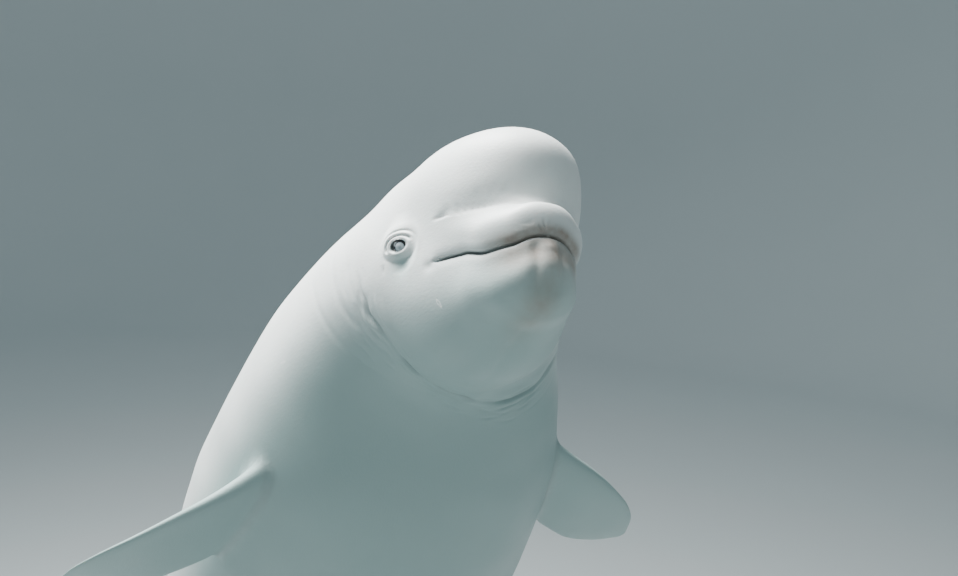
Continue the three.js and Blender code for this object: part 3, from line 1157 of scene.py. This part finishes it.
@dataclass(kw_only=True)
class Flipper(Fin):
    """A rounded paddle at the side of the chest, its tip curled up."""

    STEPS: ClassVar = (0.0, 0.2, 0.45, 0.7, 0.88, 1.0)

    side: Side
    root_at: tuple[float, float, float] = (0.905, 0.275, -0.135)
    sweep: float = 36.0
    drop: float = 17.0
    pitch: float = -5.0
    length: float = 0.580
    breadth: float = 0.240
    thickness: float = 0.062
    curl_left: float = 0.090
    curl_right: float = 0.175
    front: Monotone = Monotone(STEPS, (0.46, 0.43, 0.45, 0.39, 0.25, 0.0))
    rear: Monotone = Monotone(STEPS, (-0.46, -0.46, -0.52, -0.51, -0.36, -0.12))
    thick: Monotone = Monotone((0.0, 0.3, 0.7, 1.0), (1.5, 1.1, 0.62, 0.16))

    def __post_init__(self) -> None:
        """Works out the paddle's directions from its sweep, drop and pitch."""
        sweep, drop, pitch = (math.radians(v) for v in (self.sweep, self.drop, self.pitch))
        y = float(self.side.value)
        self.span = np.array(
            [
                -math.sin(sweep) * math.cos(drop),
                y * math.cos(sweep) * math.cos(drop),
                -math.sin(drop),
            ]
        )
        flat = np.array([1.0, 0.0, 0.0]) - self.span * self.span[0]
        flat /= np.linalg.norm(flat)
        top = np.cross(flat, self.span) * y
        self.chord = flat * math.cos(pitch) - top * math.sin(pitch)
        self.normal = top * math.cos(pitch) + flat * math.sin(pitch)
        self.root = np.array([-self.root_at[0], y * self.root_at[1], self.root_at[2]])

    def _place(self, t: Array, along: Array, across: Array) -> Array:
        """Carries section points out along the span, lifted by the curl times t squared.

        Args:
            t: Step along the span, 0 at the root and 1 at the tip.
            along: Place along the chord.
            across: Place across it.

        Returns:
            Points in the straight frame.
        """
        curl = self.curl_left if self.side is Side.LEFT else self.curl_right
        lift = across + (curl * t * t)
        return (
            self.root
            + self.span * (self.length * t)[..., None]
            + self.chord * along[..., None]
            + self.normal * lift[..., None]
        )

    def build(self) -> tuple[Array, Array]:
        """Makes the paddle, its root buried in the chest.

        Returns:
            Vertices and faces.
        """
        t = self.steps()
        along, across = self.section(
            self.front(t) * self.breadth,
            self.rear(t) * self.breadth,
            self.thick(t) * self.thickness,
        )
        rings = self._place(np.repeat(t[:, None], self.points, axis=1), along, across)
        first = self._place(np.array([0.0]), np.array([0.0]), np.array([0.0]))
        tip = np.array([-0.06 * self.breadth])
        last = self._place(np.array([1.0]), tip, np.array([0.0]))
        return self.close(rings, first, last)


@dataclass(kw_only=True)
class Fluke(Fin):
    """One half of the tail fin, level across the end of the tail."""

    side: Side
    reach: float = 0.520
    thickness: float = 0.062
    lift: float = 0.012
    middle: float = 0.014
    front: Monotone = Monotone(
        (0.0, 0.15, 0.4, 0.7, 0.9, 1.0),
        (3.760, 3.825, 3.930, 4.040, 4.125, 4.195),
    )
    rear: Monotone = Monotone(
        (0.0, 0.1, 0.3, 0.55, 0.8, 1.0),
        (4.150, 4.205, 4.262, 4.275, 4.255, 4.215),
    )
    thick: Monotone = Monotone((0.0, 0.25, 0.7, 1.0), (1.0, 0.72, 0.42, 0.15))
    overlap: float = 0.004

    def _place(self, t: Array, along: Array, across: Array) -> Array:
        """Carries section points out along the span, lifted a little with t squared.

        Args:
            t: Step along the span, 0 at the root and 1 at the tip.
            along: Place along the body.
            across: Height in the section.

        Returns:
            Points in the straight frame.
        """
        reach = self.side.value * (self.reach * t - self.overlap * (1.0 - t))
        return np.stack([along, reach, self.middle + self.lift * t * t + across], axis=-1)

    def build(self) -> tuple[Array, Array]:
        """Makes this half.

        Returns:
            Vertices and faces.
        """
        t = self.steps()
        along, across = self.section(-self.front(t), -self.rear(t), self.thick(t) * self.thickness)
        rings = self._place(np.repeat(t[:, None], self.points, axis=1), along, across)
        first = self._place(np.array([0.0]), np.array([-3.95]), np.array([0.0]))
        last = self._place(np.array([1.0]), np.array([-4.207]), np.array([0.0]))
        return self.close(rings, first, last)


# Materials.


class Nodes:
    """Small helper that wires a material's nodes."""

    def __init__(self, name: str) -> None:
        """Starts a material with an empty tree.

        Args:
            name: Name of the material.
        """
        self.material = bpy.data.materials.new(name)
        self.material.use_nodes = True
        self.tree = self.material.node_tree
        self.tree.nodes.clear()
        self.output = self.tree.nodes.new("ShaderNodeOutputMaterial")
        self.shader = self.tree.nodes.new("ShaderNodeBsdfPrincipled")
        self.link(self.shader.outputs["BSDF"], self.output.inputs["Surface"])

    def link(self, source: bpy.types.NodeSocket, target: bpy.types.NodeSocket) -> None:
        """Joins two sockets."""
        self.tree.links.new(source, target)

    def put(self, target: bpy.types.NodeSocket, value: object) -> None:
        """Sets a socket to a constant, or links another socket to it.

        Args:
            target: Socket to fill.
            value: A socket, number, vector or colour.
        """
        if isinstance(value, bpy.types.NodeSocket):
            self.link(value, target)
        elif isinstance(value, tuple) and target.type == "RGBA":
            target.default_value = (*value, 1.0)
        else:
            target.default_value = value

    def attribute(self, name: str, vector: bool = False) -> bpy.types.NodeSocket:
        """Reads a vertex attribute.

        Args:
            name: Name of the attribute.
            vector: Whether it is a vector.

        Returns:
            The output socket.
        """
        node = self.tree.nodes.new("ShaderNodeAttribute")
        node.attribute_name = name
        return node.outputs["Vector" if vector else "Fac"]

    def object_coordinates(self) -> bpy.types.NodeSocket:
        """Position in the object's own frame."""
        return self.tree.nodes.new("ShaderNodeTexCoord").outputs["Object"]

    def noise(self, vector: object, scale: float, detail: float, rough: float = 0.5) -> object:
        """Fractal noise between 0 and 1.

        Args:
            vector: Where to evaluate.
            scale: Patches in a metre.
            detail: Finer octaves.
            rough: Strength of each finer octave.

        Returns:
            The output socket.
        """
        node = self.tree.nodes.new("ShaderNodeTexNoise")
        self.put(node.inputs["Vector"], vector)
        node.inputs["Scale"].default_value = scale
        node.inputs["Detail"].default_value = detail
        node.inputs["Roughness"].default_value = rough
        return node.outputs["Fac"]

    def remap(self, value: object, low: float, high: float, a: float, b: float) -> object:
        """Maps low..high to a..b, clamped.

        Args:
            value: Value to map.
            low: Start of the range read.
            high: End of it.
            a: Result at low.
            b: Result at high.

        Returns:
            The output socket.
        """
        node = self.tree.nodes.new("ShaderNodeMapRange")
        self.put(node.inputs["Value"], value)
        for key, number in zip(("From Min", "From Max", "To Min", "To Max"), (low, high, a, b)):
            node.inputs[key].default_value = number
        return node.outputs["Result"]

    def math(self, operation: str, a: object, b: object = 0.0) -> object:
        """One arithmetic step.

        Args:
            operation: Name of the step.
            a: First value.
            b: Second value.

        Returns:
            The output socket.
        """
        node = self.tree.nodes.new("ShaderNodeMath")
        node.operation = operation
        self.put(node.inputs[0], a)
        self.put(node.inputs[1], b)
        return node.outputs[0]

    def mix(self, factor: object, a: object, b: object) -> object:
        """Mixes two colours.

        Args:
            factor: Share of the second.
            a: First colour.
            b: Second colour.

        Returns:
            The output socket.
        """
        node = self.tree.nodes.new("ShaderNodeMix")
        node.data_type = "RGBA"
        self.put(node.inputs[0], factor)
        self.put(node.inputs[6], a)
        self.put(node.inputs[7], b)
        return node.outputs[2]

    def vector(self, operation: str, a: object, b: object, output: int = 0) -> object:
        """One step of vector arithmetic.

        Args:
            operation: Name of the step.
            a: First vector.
            b: Second vector.
            output: 0 for the vector that it gives, 1 for the number.

        Returns:
            The output socket.
        """
        node = self.tree.nodes.new("ShaderNodeVectorMath")
        node.operation = operation
        self.put(node.inputs[0], a)
        self.put(node.inputs[1], b)
        return node.outputs[output]

    def scratch(self, at: object, start: Colour, end: Colour, width: float) -> object:
        """Thin mark, by the distance to the line from start to end, with a wobble.

        Args:
            at: Where to evaluate.
            start: One end.
            end: The other end.
            width: Half the mark's width.

        Returns:
            1 along the mark's middle, falling to 0 beside it.
        """
        run = Vector(end) - Vector(start)
        apart = self.vector("SUBTRACT", at, start)
        along = self.vector("DOT_PRODUCT", apart, tuple(run), 1)
        along = self.remap(along, 0.0, run.length_squared, 0.0, 1.0)
        wobble = self.remap(self.noise(at, 45.0, 2.0), 0.0, 1.0, -3.0 * width, 3.0 * width)
        node = self.tree.nodes.new("ShaderNodeVectorMath")
        node.operation = "SCALE"
        node.inputs[0].default_value = run
        self.put(node.inputs["Scale"], along)
        gap = self.vector("LENGTH", self.vector("SUBTRACT", apart, node.outputs[0]), (0, 0, 0), 1)
        gap = self.math("ABSOLUTE", self.math("ADD", gap, wobble))
        return self.remap(gap, 0.0, width, 1.0, 0.0)

    def bump(
        self, height: object, distance: float, strength: float, under: object = None
    ) -> object:
        """Turns a height into a normal.

        Args:
            height: Height between 0 and 1.
            distance: Metres that 1 stands for.
            strength: Share of the effect.
            under: Another bump to add to.

        Returns:
            The output socket.
        """
        node = self.tree.nodes.new("ShaderNodeBump")
        self.put(node.inputs["Height"], height)
        node.inputs["Distance"].default_value = distance
        node.inputs["Strength"].default_value = strength
        if under is not None:
            self.put(node.inputs["Normal"], under)
        return node.outputs["Normal"]

    def surface(self, **inputs: object) -> bpy.types.Material:
        """Fills the shader's inputs.

        Args:
            inputs: Value of each input, by its name with underscores.

        Returns:
            The material.
        """
        for name, value in inputs.items():
            self.put(self.shader.inputs[name.replace("_", " ")], value)
        return self.material


@dataclass(frozen=True)
class SkinFinish:
    """Off-white whale skin with faint mottling and scratches, with shade painted into its creases
    and a cool shade painted on its underside.
    """

    white: Colour = (0.78, 0.81, 0.80)
    cool: Colour = (0.62, 0.68, 0.67)
    # Colour of the shade painted into creases, slits and holes.
    crease: Colour = (0.20, 0.22, 0.22)
    warm: Colour = (0.27, 0.195, 0.15)
    # Colour of the cool shade painted on the underside and under the eyes.
    under: Colour = (0.28, 0.40, 0.39)
    scar: Colour = (0.86, 0.88, 0.87)
    roughness: float = 0.46

    SCRATCHES: ClassVar = (
        ((-0.211, -0.142, -0.070), (-0.198, -0.114, -0.114), 0.0022, 0.8),
        ((-0.330, -0.190, -0.060), (-0.345, -0.150, -0.130), 0.0014, 0.5),
        ((-0.100, -0.060, 0.165), (-0.085, -0.085, 0.168), 0.0012, 0.4),
        ((-0.620, -0.330, -0.050), (-0.760, -0.370, -0.010), 0.0020, 0.5),
        ((-1.100, -0.300, -0.290), (-1.240, -0.180, -0.350), 0.0030, 0.6),
        ((-1.180, -0.260, -0.320), (-1.300, -0.120, -0.380), 0.0022, 0.5),
        ((-0.900, 0.380, 0.120), (-1.150, 0.420, 0.170), 0.0026, 0.6),
        ((-1.700, 0.330, 0.250), (-1.950, 0.300, 0.290), 0.0030, 0.5),
        ((-1.500, -0.420, 0.150), (-1.780, -0.400, 0.210), 0.0026, 0.5),
        ((-2.400, -0.250, 0.200), (-2.600, -0.230, 0.190), 0.0026, 0.5),
    )

    def material(self) -> bpy.types.Material:
        """Builds the skin's material.

        Returns:
            A material that reads the rest position and the warm tint, and the shade painted into
            creases and onto the underside.
        """
        n = Nodes("whale_skin")
        rest = n.attribute("rest", vector=True)
        broad = n.remap(n.noise(rest, 2.2, 3.0), 0.35, 0.72, 0.0, 0.55)
        colour = n.mix(broad, self.white, self.cool)
        blotch = n.remap(n.noise(rest, 14.0, 5.0, 0.6), 0.52, 0.78, 0.0, 0.35)
        colour = n.mix(blotch, colour, self.cool)
        long_marks = n.noise(n.vector("MULTIPLY", rest, (9.0, 60.0, 60.0)), 1.0, 3.0, 0.6)
        colour = n.mix(n.remap(long_marks, 0.60, 0.74, 0.0, 0.22), colour, (0.60, 0.64, 0.64))
        # Painted shade: the underside and the hollow under each eye take the cool, darker under
        # colour.
        colour = n.mix(n.math("MULTIPLY", n.attribute("under"), 0.90), colour, self.under)
        for start, end, width, depth in self.SCRATCHES:
            line = n.scratch(rest, start, end, width)
            colour = n.mix(n.math("MULTIPLY", line, depth), colour, self.scar)
        warm_noise = n.remap(n.noise(rest, 34.0, 5.0, 0.6), 0.3, 0.7, 0.60, 1.0)
        colour = n.mix(n.math("MULTIPLY", n.attribute("warm"), warm_noise), colour, self.warm)
        # Painted shade in the grooves: mouth line, throat fold, eye openings, blowhole, ear and
        # fins' roots.
        colour = n.mix(n.attribute("crease"), colour, self.crease)
        pores = n.noise(rest, 420.0, 3.0, 0.6)
        grain = n.noise(n.vector("MULTIPLY", rest, (70.0, 210.0, 210.0)), 1.0, 4.0, 0.55)
        normal = n.bump(pores, 0.0006, 0.35)
        normal = n.bump(grain, 0.0012, 0.30, normal)
        smooth, dull = self.roughness - 0.06, self.roughness + 0.08
        rough = n.remap(n.noise(rest, 9.0, 4.0), 0.3, 0.7, smooth, dull)
        return n.surface(
            Base_Color=colour,
            Roughness=rough,
            Normal=normal,
            Subsurface_Weight=0.12,
            Subsurface_Radius=(0.02, 0.014, 0.012),
            Subsurface_Scale=0.6,
            Specular_IOR_Level=0.42,
        )


@dataclass(frozen=True)
class EyeFinish:
    """Dark wet eyeball whose front carries a pale blue-grey painted reflection."""

    # Colour of the reflection painted on the cornea.
    pale: Colour = (0.50, 0.57, 0.60)
    shade: Colour = (0.20, 0.25, 0.28)
    dark: Colour = (0.012, 0.013, 0.015)

    def material(self) -> bpy.types.Material:
        """Builds the eye's material, which reads the gaze attribute.

        Returns:
            The material.
        """
        n = Nodes("whale_eye")
        gaze = n.attribute("gaze")
        at = n.object_coordinates()
        cloud = n.noise(at, 170.0, 4.0)
        # Painted reflection: pale round the gaze, patchy, fading to the shade colour towards its
        # rim, dark beyond.
        front = n.mix(n.remap(cloud, 0.35, 0.70, 0.0, 0.8), self.pale, self.shade)
        front = n.mix(n.remap(gaze, 0.96, 0.91, 0.0, 0.6), front, self.shade)
        colour = n.mix(n.remap(gaze, 0.90, 0.875, 0.0, 1.0), front, self.dark)
        return n.surface(
            Base_Color=colour,
            Roughness=n.remap(cloud, 0.3, 0.7, 0.10, 0.18),
            Coat_Weight=0.6,
            Coat_Roughness=0.05,
        )


@dataclass(frozen=True)
class StandFinish:
    """Satin powder coat."""

    colour: Colour = (0.070, 0.078, 0.082)
    roughness: float = 0.42

    def material(self, name: str) -> bpy.types.Material:
        """Builds the coat.

        Args:
            name: Name of the material.

        Returns:
            The material.
        """
        n = Nodes(name)
        at = n.object_coordinates()
        fleck = n.noise(at, 900.0, 2.0)
        cloud = n.noise(at, 6.0, 4.0)
        colour = n.mix(n.remap(cloud, 0.3, 0.7, 0.0, 0.35), self.colour, (0.105, 0.115, 0.12))
        return n.surface(
            Base_Color=colour,
            Roughness=n.remap(cloud, 0.3, 0.7, self.roughness - 0.05, self.roughness + 0.08),
            Normal=n.bump(fleck, 0.0002, 0.35),
            Specular_IOR_Level=0.5,
        )


# Pieces.


@dataclass
class Skin:
    """One closed skin over head, jaw, trunk, tail, flippers and flukes."""

    body: StraightBody
    detail: SkinDetail
    spine: Spine
    fillet: float = 0.022
    fillet_passes: int = 14
    seam_reach: float = 0.10
    # Width of the shade painted round the fins' roots.
    root_shade_width: float = 0.010

    def _fins(self) -> list[tuple[Array, Array]]:
        """Vertices and faces of both flippers and both halves of the tail fin."""
        return [kind(side=side).build() for kind in (Flipper, Fluke) for side in Side]

    def _united(self) -> tuple[bpy.types.Mesh, Array]:
        """Unites body and fins.

        Returns:
            The mesh in the straight frame, and every vertex position before the union.
        """
        vertices, faces = BodyGrid(self.body, self.detail).build()
        base = make_object("skin_body", vertices, faces)
        before = [read_vertices(base.data)]
        helpers = []
        for k, (points, quads) in enumerate(self._fins()):
            fin = make_object(f"skin_fin_{k}", points, quads)
            helpers.append(fin)
            before.append(read_vertices(fin.data))
            union = base.modifiers.new(f"fin_{k}", "BOOLEAN")
            union.operation = "UNION"
            union.object = fin
            union.solver = "MANIFOLD"
        graph = bpy.context.evaluated_depsgraph_get()
        mesh = bpy.data.meshes.new_from_object(base.evaluated_get(graph))
        for item in [base, *helpers]:
            bpy.data.objects.remove(item)
        return mesh, np.vstack(before)

    @staticmethod
    def _seam(points: Array, before: Array) -> Array:
        """Points that the union made, where a fin meets the body.

        Args:
            points: Vertices after the union.
            before: Vertices of all parts before it.

        Returns:
            The points that are in no part, to a thousandth of a millimetre.
        """
        cells = np.round(np.vstack([before, points]) * 1e6).astype(np.int64)
        _, cell = np.unique(cells, axis=0, return_inverse=True)
        cell = cell.ravel()
        return points[~np.isin(cell[len(before) :], cell[: len(before)])]

    @staticmethod
    def _distance(points: Array, targets: Array, limit: float) -> Array:
        """Distance to the nearest target.

        Args:
            points: Positions, as rows.
            targets: Positions to measure to.
            limit: Greatest distance that is told apart.

        Returns:
            One distance for each point.
        """
        result = np.full(len(points), limit)
        low, high = targets.min(axis=0) - limit, targets.max(axis=0) + limit
        near = np.flatnonzero(((points > low) & (points < high)).all(axis=1))
        for block in np.array_split(near, max(1, len(near) // 400)):
            gap = np.linalg.norm(points[block][:, None] - targets[None], axis=2)
            result[block] = np.minimum(gap.min(axis=1), limit)
        return result

    def _filleted(self, points: Array, edges: Array, distance: Array) -> Array:
        """Relaxes the skin round the fins' roots: each point moves to its neighbours' mean.

        Args:
            points: Vertices, as rows.
            edges: Rows of two vertex indices.
            distance: Distance of each vertex from the seam.

        Returns:
            The moved vertices.
        """
        weight = 0.6 * bell(distance, self.fillet * 0.6)
        weight[distance >= self.fillet * 1.6] = 0.0
        active = weight > 1e-3
        use = edges[active[edges].any(axis=1)]
        for _ in range(self.fillet_passes):
            total = np.zeros_like(points)
            count = np.zeros(len(points))
            np.add.at(total, use[:, 0], points[use[:, 1]])
            np.add.at(total, use[:, 1], points[use[:, 0]])
            np.add.at(count, use[:, 0], 1.0)
            np.add.at(count, use[:, 1], 1.0)
            mean = total / np.maximum(count, 1.0)[:, None]
            step = (mean - points) * weight[:, None]
            points = points + np.where(active[:, None], step, 0.0)
        return points

    def _crease_shade(self, p: Array, root: Array) -> Array:
        """Painted shade in the grooves and holes: mouth line and the soft shadow below it, throat
        fold, eye openings, blowhole, ear and fins' roots.

        Args:
            p: Positions in the straight frame, as rows.
            root: 1 at the fins' roots, 0 away from them.

        Returns:
            A value from 0 to 1 for each point.
        """
        height, fade = self.detail.mouth(p)
        # Painted shade: a dark mouth line, with a soft painted shadow just below it.
        mouth = (0.97 * bell(height, 0.0042) + 0.22 * bell(height + 0.004, 0.010)) * fade
        off, deep = self.detail.throat_line(p)
        throat = 0.44 * bell(off, 0.0032) * deep
        u, v, _, near = self.detail.eye_plane(p)
        ring = self.detail.eye_ring(u, v)
        above = smoothstep(v, -0.006, 0.006)
        lid = 0.95 * (1.0 - smoothstep(ring, 0.98, 1.12)) + 0.30 * above * bell(ring - 1.78, 0.12)
        lid = near * (lid + 0.12 * bell(ring - 1.3, 0.35))
        blow = 0.8 * bell(self.detail.blowhole_line(p), 0.003)
        blow *= np.where((p[:, 2] > 0.1) & (np.abs(p[:, 1]) < 0.03), 1.0, 0.0)
        ear = 0.4 * bell(self.detail.ear_distance(p), 0.003)
        return np.clip(mouth + throat + lid + blow + ear + 0.25 * root, 0.0, 1.0)

    def _warm(self, p: Array) -> Array:
        """Brownish tint at the front of the mouth and under the chin.

        Args:
            p: Positions in the straight frame, as rows.

        Returns:
            A value from 0 to 1 for each point.
        """
        height, _ = self.detail.mouth(p)
        front = 1.0 - smoothstep(-p[:, 0], 0.02, 0.11)
        lips = front * (0.80 * bell(height + 0.020, 0.030) + 0.75 * bell(height - 0.010, 0.014))
        chin = 0.58 * bell(p[:, 1] + 0.002, 0.036) * bell(-p[:, 0] - 0.06, 0.09)
        return np.clip(lips + chin * smoothstep(-p[:, 2], 0.02, 0.05), 0.0, 0.9)

    def _underside_shade(self, p: Array) -> Array:
        """Painted shade: strongest below the body's axis and in the hollow under each eye.

        Args:
            p: Positions in the straight frame, as rows.

        Returns:
            A value from 0 to 1 for each point.
        """
        middle = self.body.middle(p[:, 0]) * smoothstep(-p[:, 0], 0.4, 0.9)
        below = middle - p[:, 2]
        u, v, _, near = self.detail.eye_plane(p)
        # Painted shade in the hollow under the eye, and below the body's axis with a wavy edge.
        hollow = 0.9 * near * bell(np.hypot(u - 0.002, v + 0.038), 0.030)
        belly = smoothstep(below + 0.02 * ripple(p, 0.5, 11), -0.04, 0.15)
        return np.clip(belly + hollow, 0.0, 1.0)

    def build(self) -> bpy.types.Object:
        """Makes the finished skin.

        Returns:
            The skin's object, at the origin.
        """
        mesh, before = self._united()
        rest = read_vertices(mesh)
        edges = read_edges(mesh)
        seam = self._seam(rest, before)
        log.info("skin seam has %d points", len(seam))
        distance = self._distance(rest, seam, self.seam_reach)
        rest = self._filleted(rest, edges, distance)
        mesh.vertices.foreach_set("co", self.spine.bend(rest).astype(np.float32).ravel())
        mesh.update()
        set_attribute(mesh, "rest", rest)
        # Shade painted round the fins' roots, weaker at the flukes than at the flippers.
        flipper = np.where(-rest[:, 0] < 2.0, 1.0, 0.3)
        root = bell(distance, self.root_shade_width) * flipper
        set_attribute(mesh, "crease", self._crease_shade(rest, root))
        set_attribute(mesh, "warm", self._warm(rest))
        # Shade painted on the underside and under the eyes.
        set_attribute(mesh, "under", self._underside_shade(rest))
        mesh.polygons.foreach_set("use_smooth", np.ones(len(mesh.polygons), bool))
        mesh.materials.clear()
        mesh.materials.append(SkinFinish().material())
        skin = bpy.data.objects.new("skin", mesh)
        mesh.name = "skin"
        bpy.context.scene.collection.objects.link(skin)
        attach(skin, "root")
        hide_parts(*FLESH_NODES)
        return skin


@dataclass
class Eye:
    """One eyeball: a ball whose front, with its painted reflection, looks ahead and a little down.
    """

    side: Side
    shape: EyeShape
    body: StraightBody
    spine: Spine
    rings: int = 40
    points: int = 48
    look_ahead: float = 0.27
    look_down: float = 0.27

    def build(self, material: bpy.types.Material) -> bpy.types.Object:
        """Makes the eyeball.

        Args:
            material: The eye's material.

        Returns:
            The eye's object, at the origin.
        """
        y = float(self.side.value)
        centre = self.shape.ball_centre(self.body, self.side)
        ahead, above, out = self.shape.axes() * np.array([1.0, y, 1.0])
        gaze = out + self.look_ahead * ahead - self.look_down * above
        gaze /= np.linalg.norm(gaze)
        across = np.cross(gaze, [0.0, 0.0, 1.0])
        across /= np.linalg.norm(across)
        up = np.cross(across, gaze)
        tilt = np.linspace(0.0, math.pi, self.rings + 2)[1:-1]
        turn = spread(0.0, 2.0 * math.pi, self.points)
        forward = np.cos(tilt)[:, None] * np.ones(self.points)
        direction = (
            gaze * forward[..., None]
            + across * (np.sin(tilt)[:, None] * np.cos(turn))[..., None]
            + up * (np.sin(tilt)[:, None] * np.sin(turn))[..., None]
        )
        points = np.vstack([direction.reshape(-1, 3), gaze, -gaze]) * self.shape.radius
        faces = ring_faces(self.rings, self.points, len(points) - 2, len(points) - 1)
        a, b, c = (points[faces[0][k]] for k in range(3))
        if np.dot(np.cross(b - a, c - a), a) < 0.0:
            faces = turned(faces)
        placed = self.spine.bend(points + centre)
        name = f"eyeball_{self.side.name.lower()}"
        ball = make_object(name, placed, faces)
        set_attribute(ball.data, "gaze", points @ gaze / self.shape.radius)
        ball.data.materials.append(material)
        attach(ball, "root")
        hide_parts(f"eye_{self.side.name.lower()}")
        return ball


@dataclass
class Stand:
    """The stand keeps its solids and gets a coat of paint."""

    finish: StandFinish = StandFinish()

    def build(self) -> None:
        """Gives every node of the stand its material."""
        material = self.finish.material("stand_coat")
        for name in STAND_NODES:
            node = bpy.data.objects[name]
            for slot in node.material_slots:
                slot.link = "OBJECT"
                slot.material = material


@dataclass
class Studio:
    """A pale floor that sweeps up into a plain wall all round, soft lights and the camera."""

    floor_radius: float = 13.0
    wall_radius: float = 17.0
    wall_height: float = 9.0
    view_azimuth: float = 61.352
    view_pitch: float = 9.137
    view_roll: float = 4.915
    view_from_anchor: tuple[float, float, float] = (2.369, -1.003, 0.983)
    focal_pixels: float = 1000.0
    photo_width: float = 958.0
    sensor: float = 36.0
    facets: int = 96
    sweep_steps: int = 16

    def floor(self) -> bpy.types.Object:
        """Makes the floor and wall as one turned surface.

        Returns:
            The stage object.
        """
        bend = np.radians(spread(0.0, 90.0, self.sweep_steps))
        run = self.wall_radius - self.floor_radius
        radius = np.concatenate(
            [[0.6, 4.0, self.floor_radius], self.floor_radius + run * np.sin(bend)]
        )
        height = np.concatenate([[0.0, 0.0, 0.0], run * (1.0 - np.cos(bend))])
        radius = np.append(radius, self.wall_radius)
        height = np.append(height, self.wall_height)
        turn = spread(0.0, 2.0 * math.pi, self.facets)
        rings = np.stack(
            [
                radius[:, None] * np.cos(turn),
                radius[:, None] * np.sin(turn),
                height[:, None] * np.ones(self.facets) - 0.001,
            ],
            axis=-1,
        )
        count = len(radius) * self.facets
        vertices = np.vstack([rings.reshape(-1, 3), [0.0, 0.0, -0.001]])
        faces = ring_faces(len(radius), self.facets, count, count)[: -self.facets]
        stage = make_object("stage_floor", vertices, faces)
        n = Nodes("stage_pale")
        soft = n.noise(n.object_coordinates(), 0.8, 3.0)
        colour = n.mix(n.remap(soft, 0.3, 0.7, 0.0, 0.3), (0.66, 0.70, 0.71), (0.62, 0.67, 0.68))
        stage.data.materials.append(n.surface(Base_Color=colour, Roughness=0.8))
        return stage

    @staticmethod
    def lamp(
        name: str, at: Vector, target: Vector, size: float, watts: float, tint: Colour
    ) -> None:
        """Adds one square soft light.

        Args:
            name: Name of the light.
            at: Where it hangs.
            target: What it points at.
            size: Length of its sides.
            watts: Its power.
            tint: Its colour.
        """
        data = bpy.data.lights.new(name, "AREA")
        data.shape = "SQUARE"
        data.size = size
        data.energy = watts
        data.color = tint
        light = bpy.data.objects.new(name, data)
        light.location = at
        light.rotation_mode = "QUATERNION"
        light.rotation_quaternion = (target - at).to_track_quat("-Z", "Y")
        bpy.context.scene.collection.objects.link(light)

    def lights(self, head: Vector) -> None:
        """Hangs the lights: a broad one overhead and two weak cool fills.

        Args:
            head: Middle of the whale's head.
        """
        self.lamp("key", head + Vector((-1.4, -0.9, 2.8)), head, 2.0, 760.0, (1.0, 1.0, 0.98))
        self.lamp("front", head + Vector((4.5, -3.5, 1.6)), head, 3.0, 16.0, (0.80, 0.97, 1.0))
        self.lamp("back", head + Vector((-3.6, -3.8, 1.0)), head, 3.0, 70.0, (0.80, 0.97, 1.0))
        world = bpy.data.worlds.new("studio")
        world.use_nodes = True
        background = world.node_tree.nodes["Background"]
        background.inputs["Color"].default_value = (0.62, 0.76, 0.80, 1.0)
        background.inputs["Strength"].default_value = 0.50
        bpy.context.scene.world = world

    def camera(self, anchor: Array) -> None:
        """Sets the camera in front of the head, on the whale's right side.

        Args:
            anchor: Where the spine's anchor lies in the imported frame.
        """
        azimuth, pitch, roll = (
            math.radians(v) for v in (self.view_azimuth, self.view_pitch, self.view_roll)
        )
        back = Vector(
            (
                math.sin(azimuth) * math.cos(pitch),
                -math.cos(azimuth) * math.cos(pitch),
                math.sin(pitch),
            )
        )
        level = Vector((math.cos(azimuth), math.sin(azimuth), 0.0))
        raised = back.cross(level)
        right = level * math.cos(roll) + raised * math.sin(roll)
        up = raised * math.cos(roll) - level * math.sin(roll)
        data = bpy.data.cameras.new("photo_view")
        data.sensor_fit = "HORIZONTAL"
        data.sensor_width = self.sensor
        data.lens = self.focal_pixels / self.photo_width * self.sensor
        data.clip_start = 0.05
        data.clip_end = 100.0
        camera = bpy.data.objects.new("photo_view", data)
        turn = Matrix((right, up, back)).transposed().to_4x4()
        place = Matrix.Translation(Vector(anchor) + Vector(self.view_from_anchor))
        camera.matrix_world = place @ turn
        bpy.context.scene.collection.objects.link(camera)
        bpy.context.scene.camera = camera


# Main.


def settle(spine: Spine, body: StraightBody, shape: EyeShape) -> None:
    """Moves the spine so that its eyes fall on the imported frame's eyes.

    Args:
        spine: Spine whose shift is set.
        body: The straight body.
        shape: Size and place of an eye.
    """
    offsets = []
    for side in Side:
        low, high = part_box(f"eye_{side.name.lower()}")
        middle = (np.array(low) + np.array(high)) / 2.0
        offsets.append(middle - spine.bend(shape.ball_centre(body, side)[None])[0])
    spine.shift = np.mean(offsets, axis=0)
    log.info("spine shift %s, eyes agree to %.4f m", spine.shift, np.ptp(offsets, axis=0).max())


def main() -> None:
    """Builds the pieces in order and logs each."""
    logging.basicConfig(level=logging.INFO, format="%(name)s: %(message)s")
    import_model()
    shape = EyeShape()
    body = StraightBody()
    spine = Spine()
    settle(spine, body, shape)
    detail = SkinDetail(body, shape)
    skin = Skin(body, detail, spine).build()
    log.info("skin has %d faces", len(skin.data.polygons))
    eye_material = EyeFinish().material()
    for side in Side:
        ball = Eye(side, shape, body, spine).build(eye_material)
        log.info("made %s", ball.name)
    Stand().build()
    log.info("painted the stand")
    studio = Studio()
    studio.floor()
    low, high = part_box("head")
    studio.lights((Vector(low) + Vector(high)) / 2.0)
    studio.camera(spine.shift)
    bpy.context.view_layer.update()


if __name__ == "__main__":
    main()
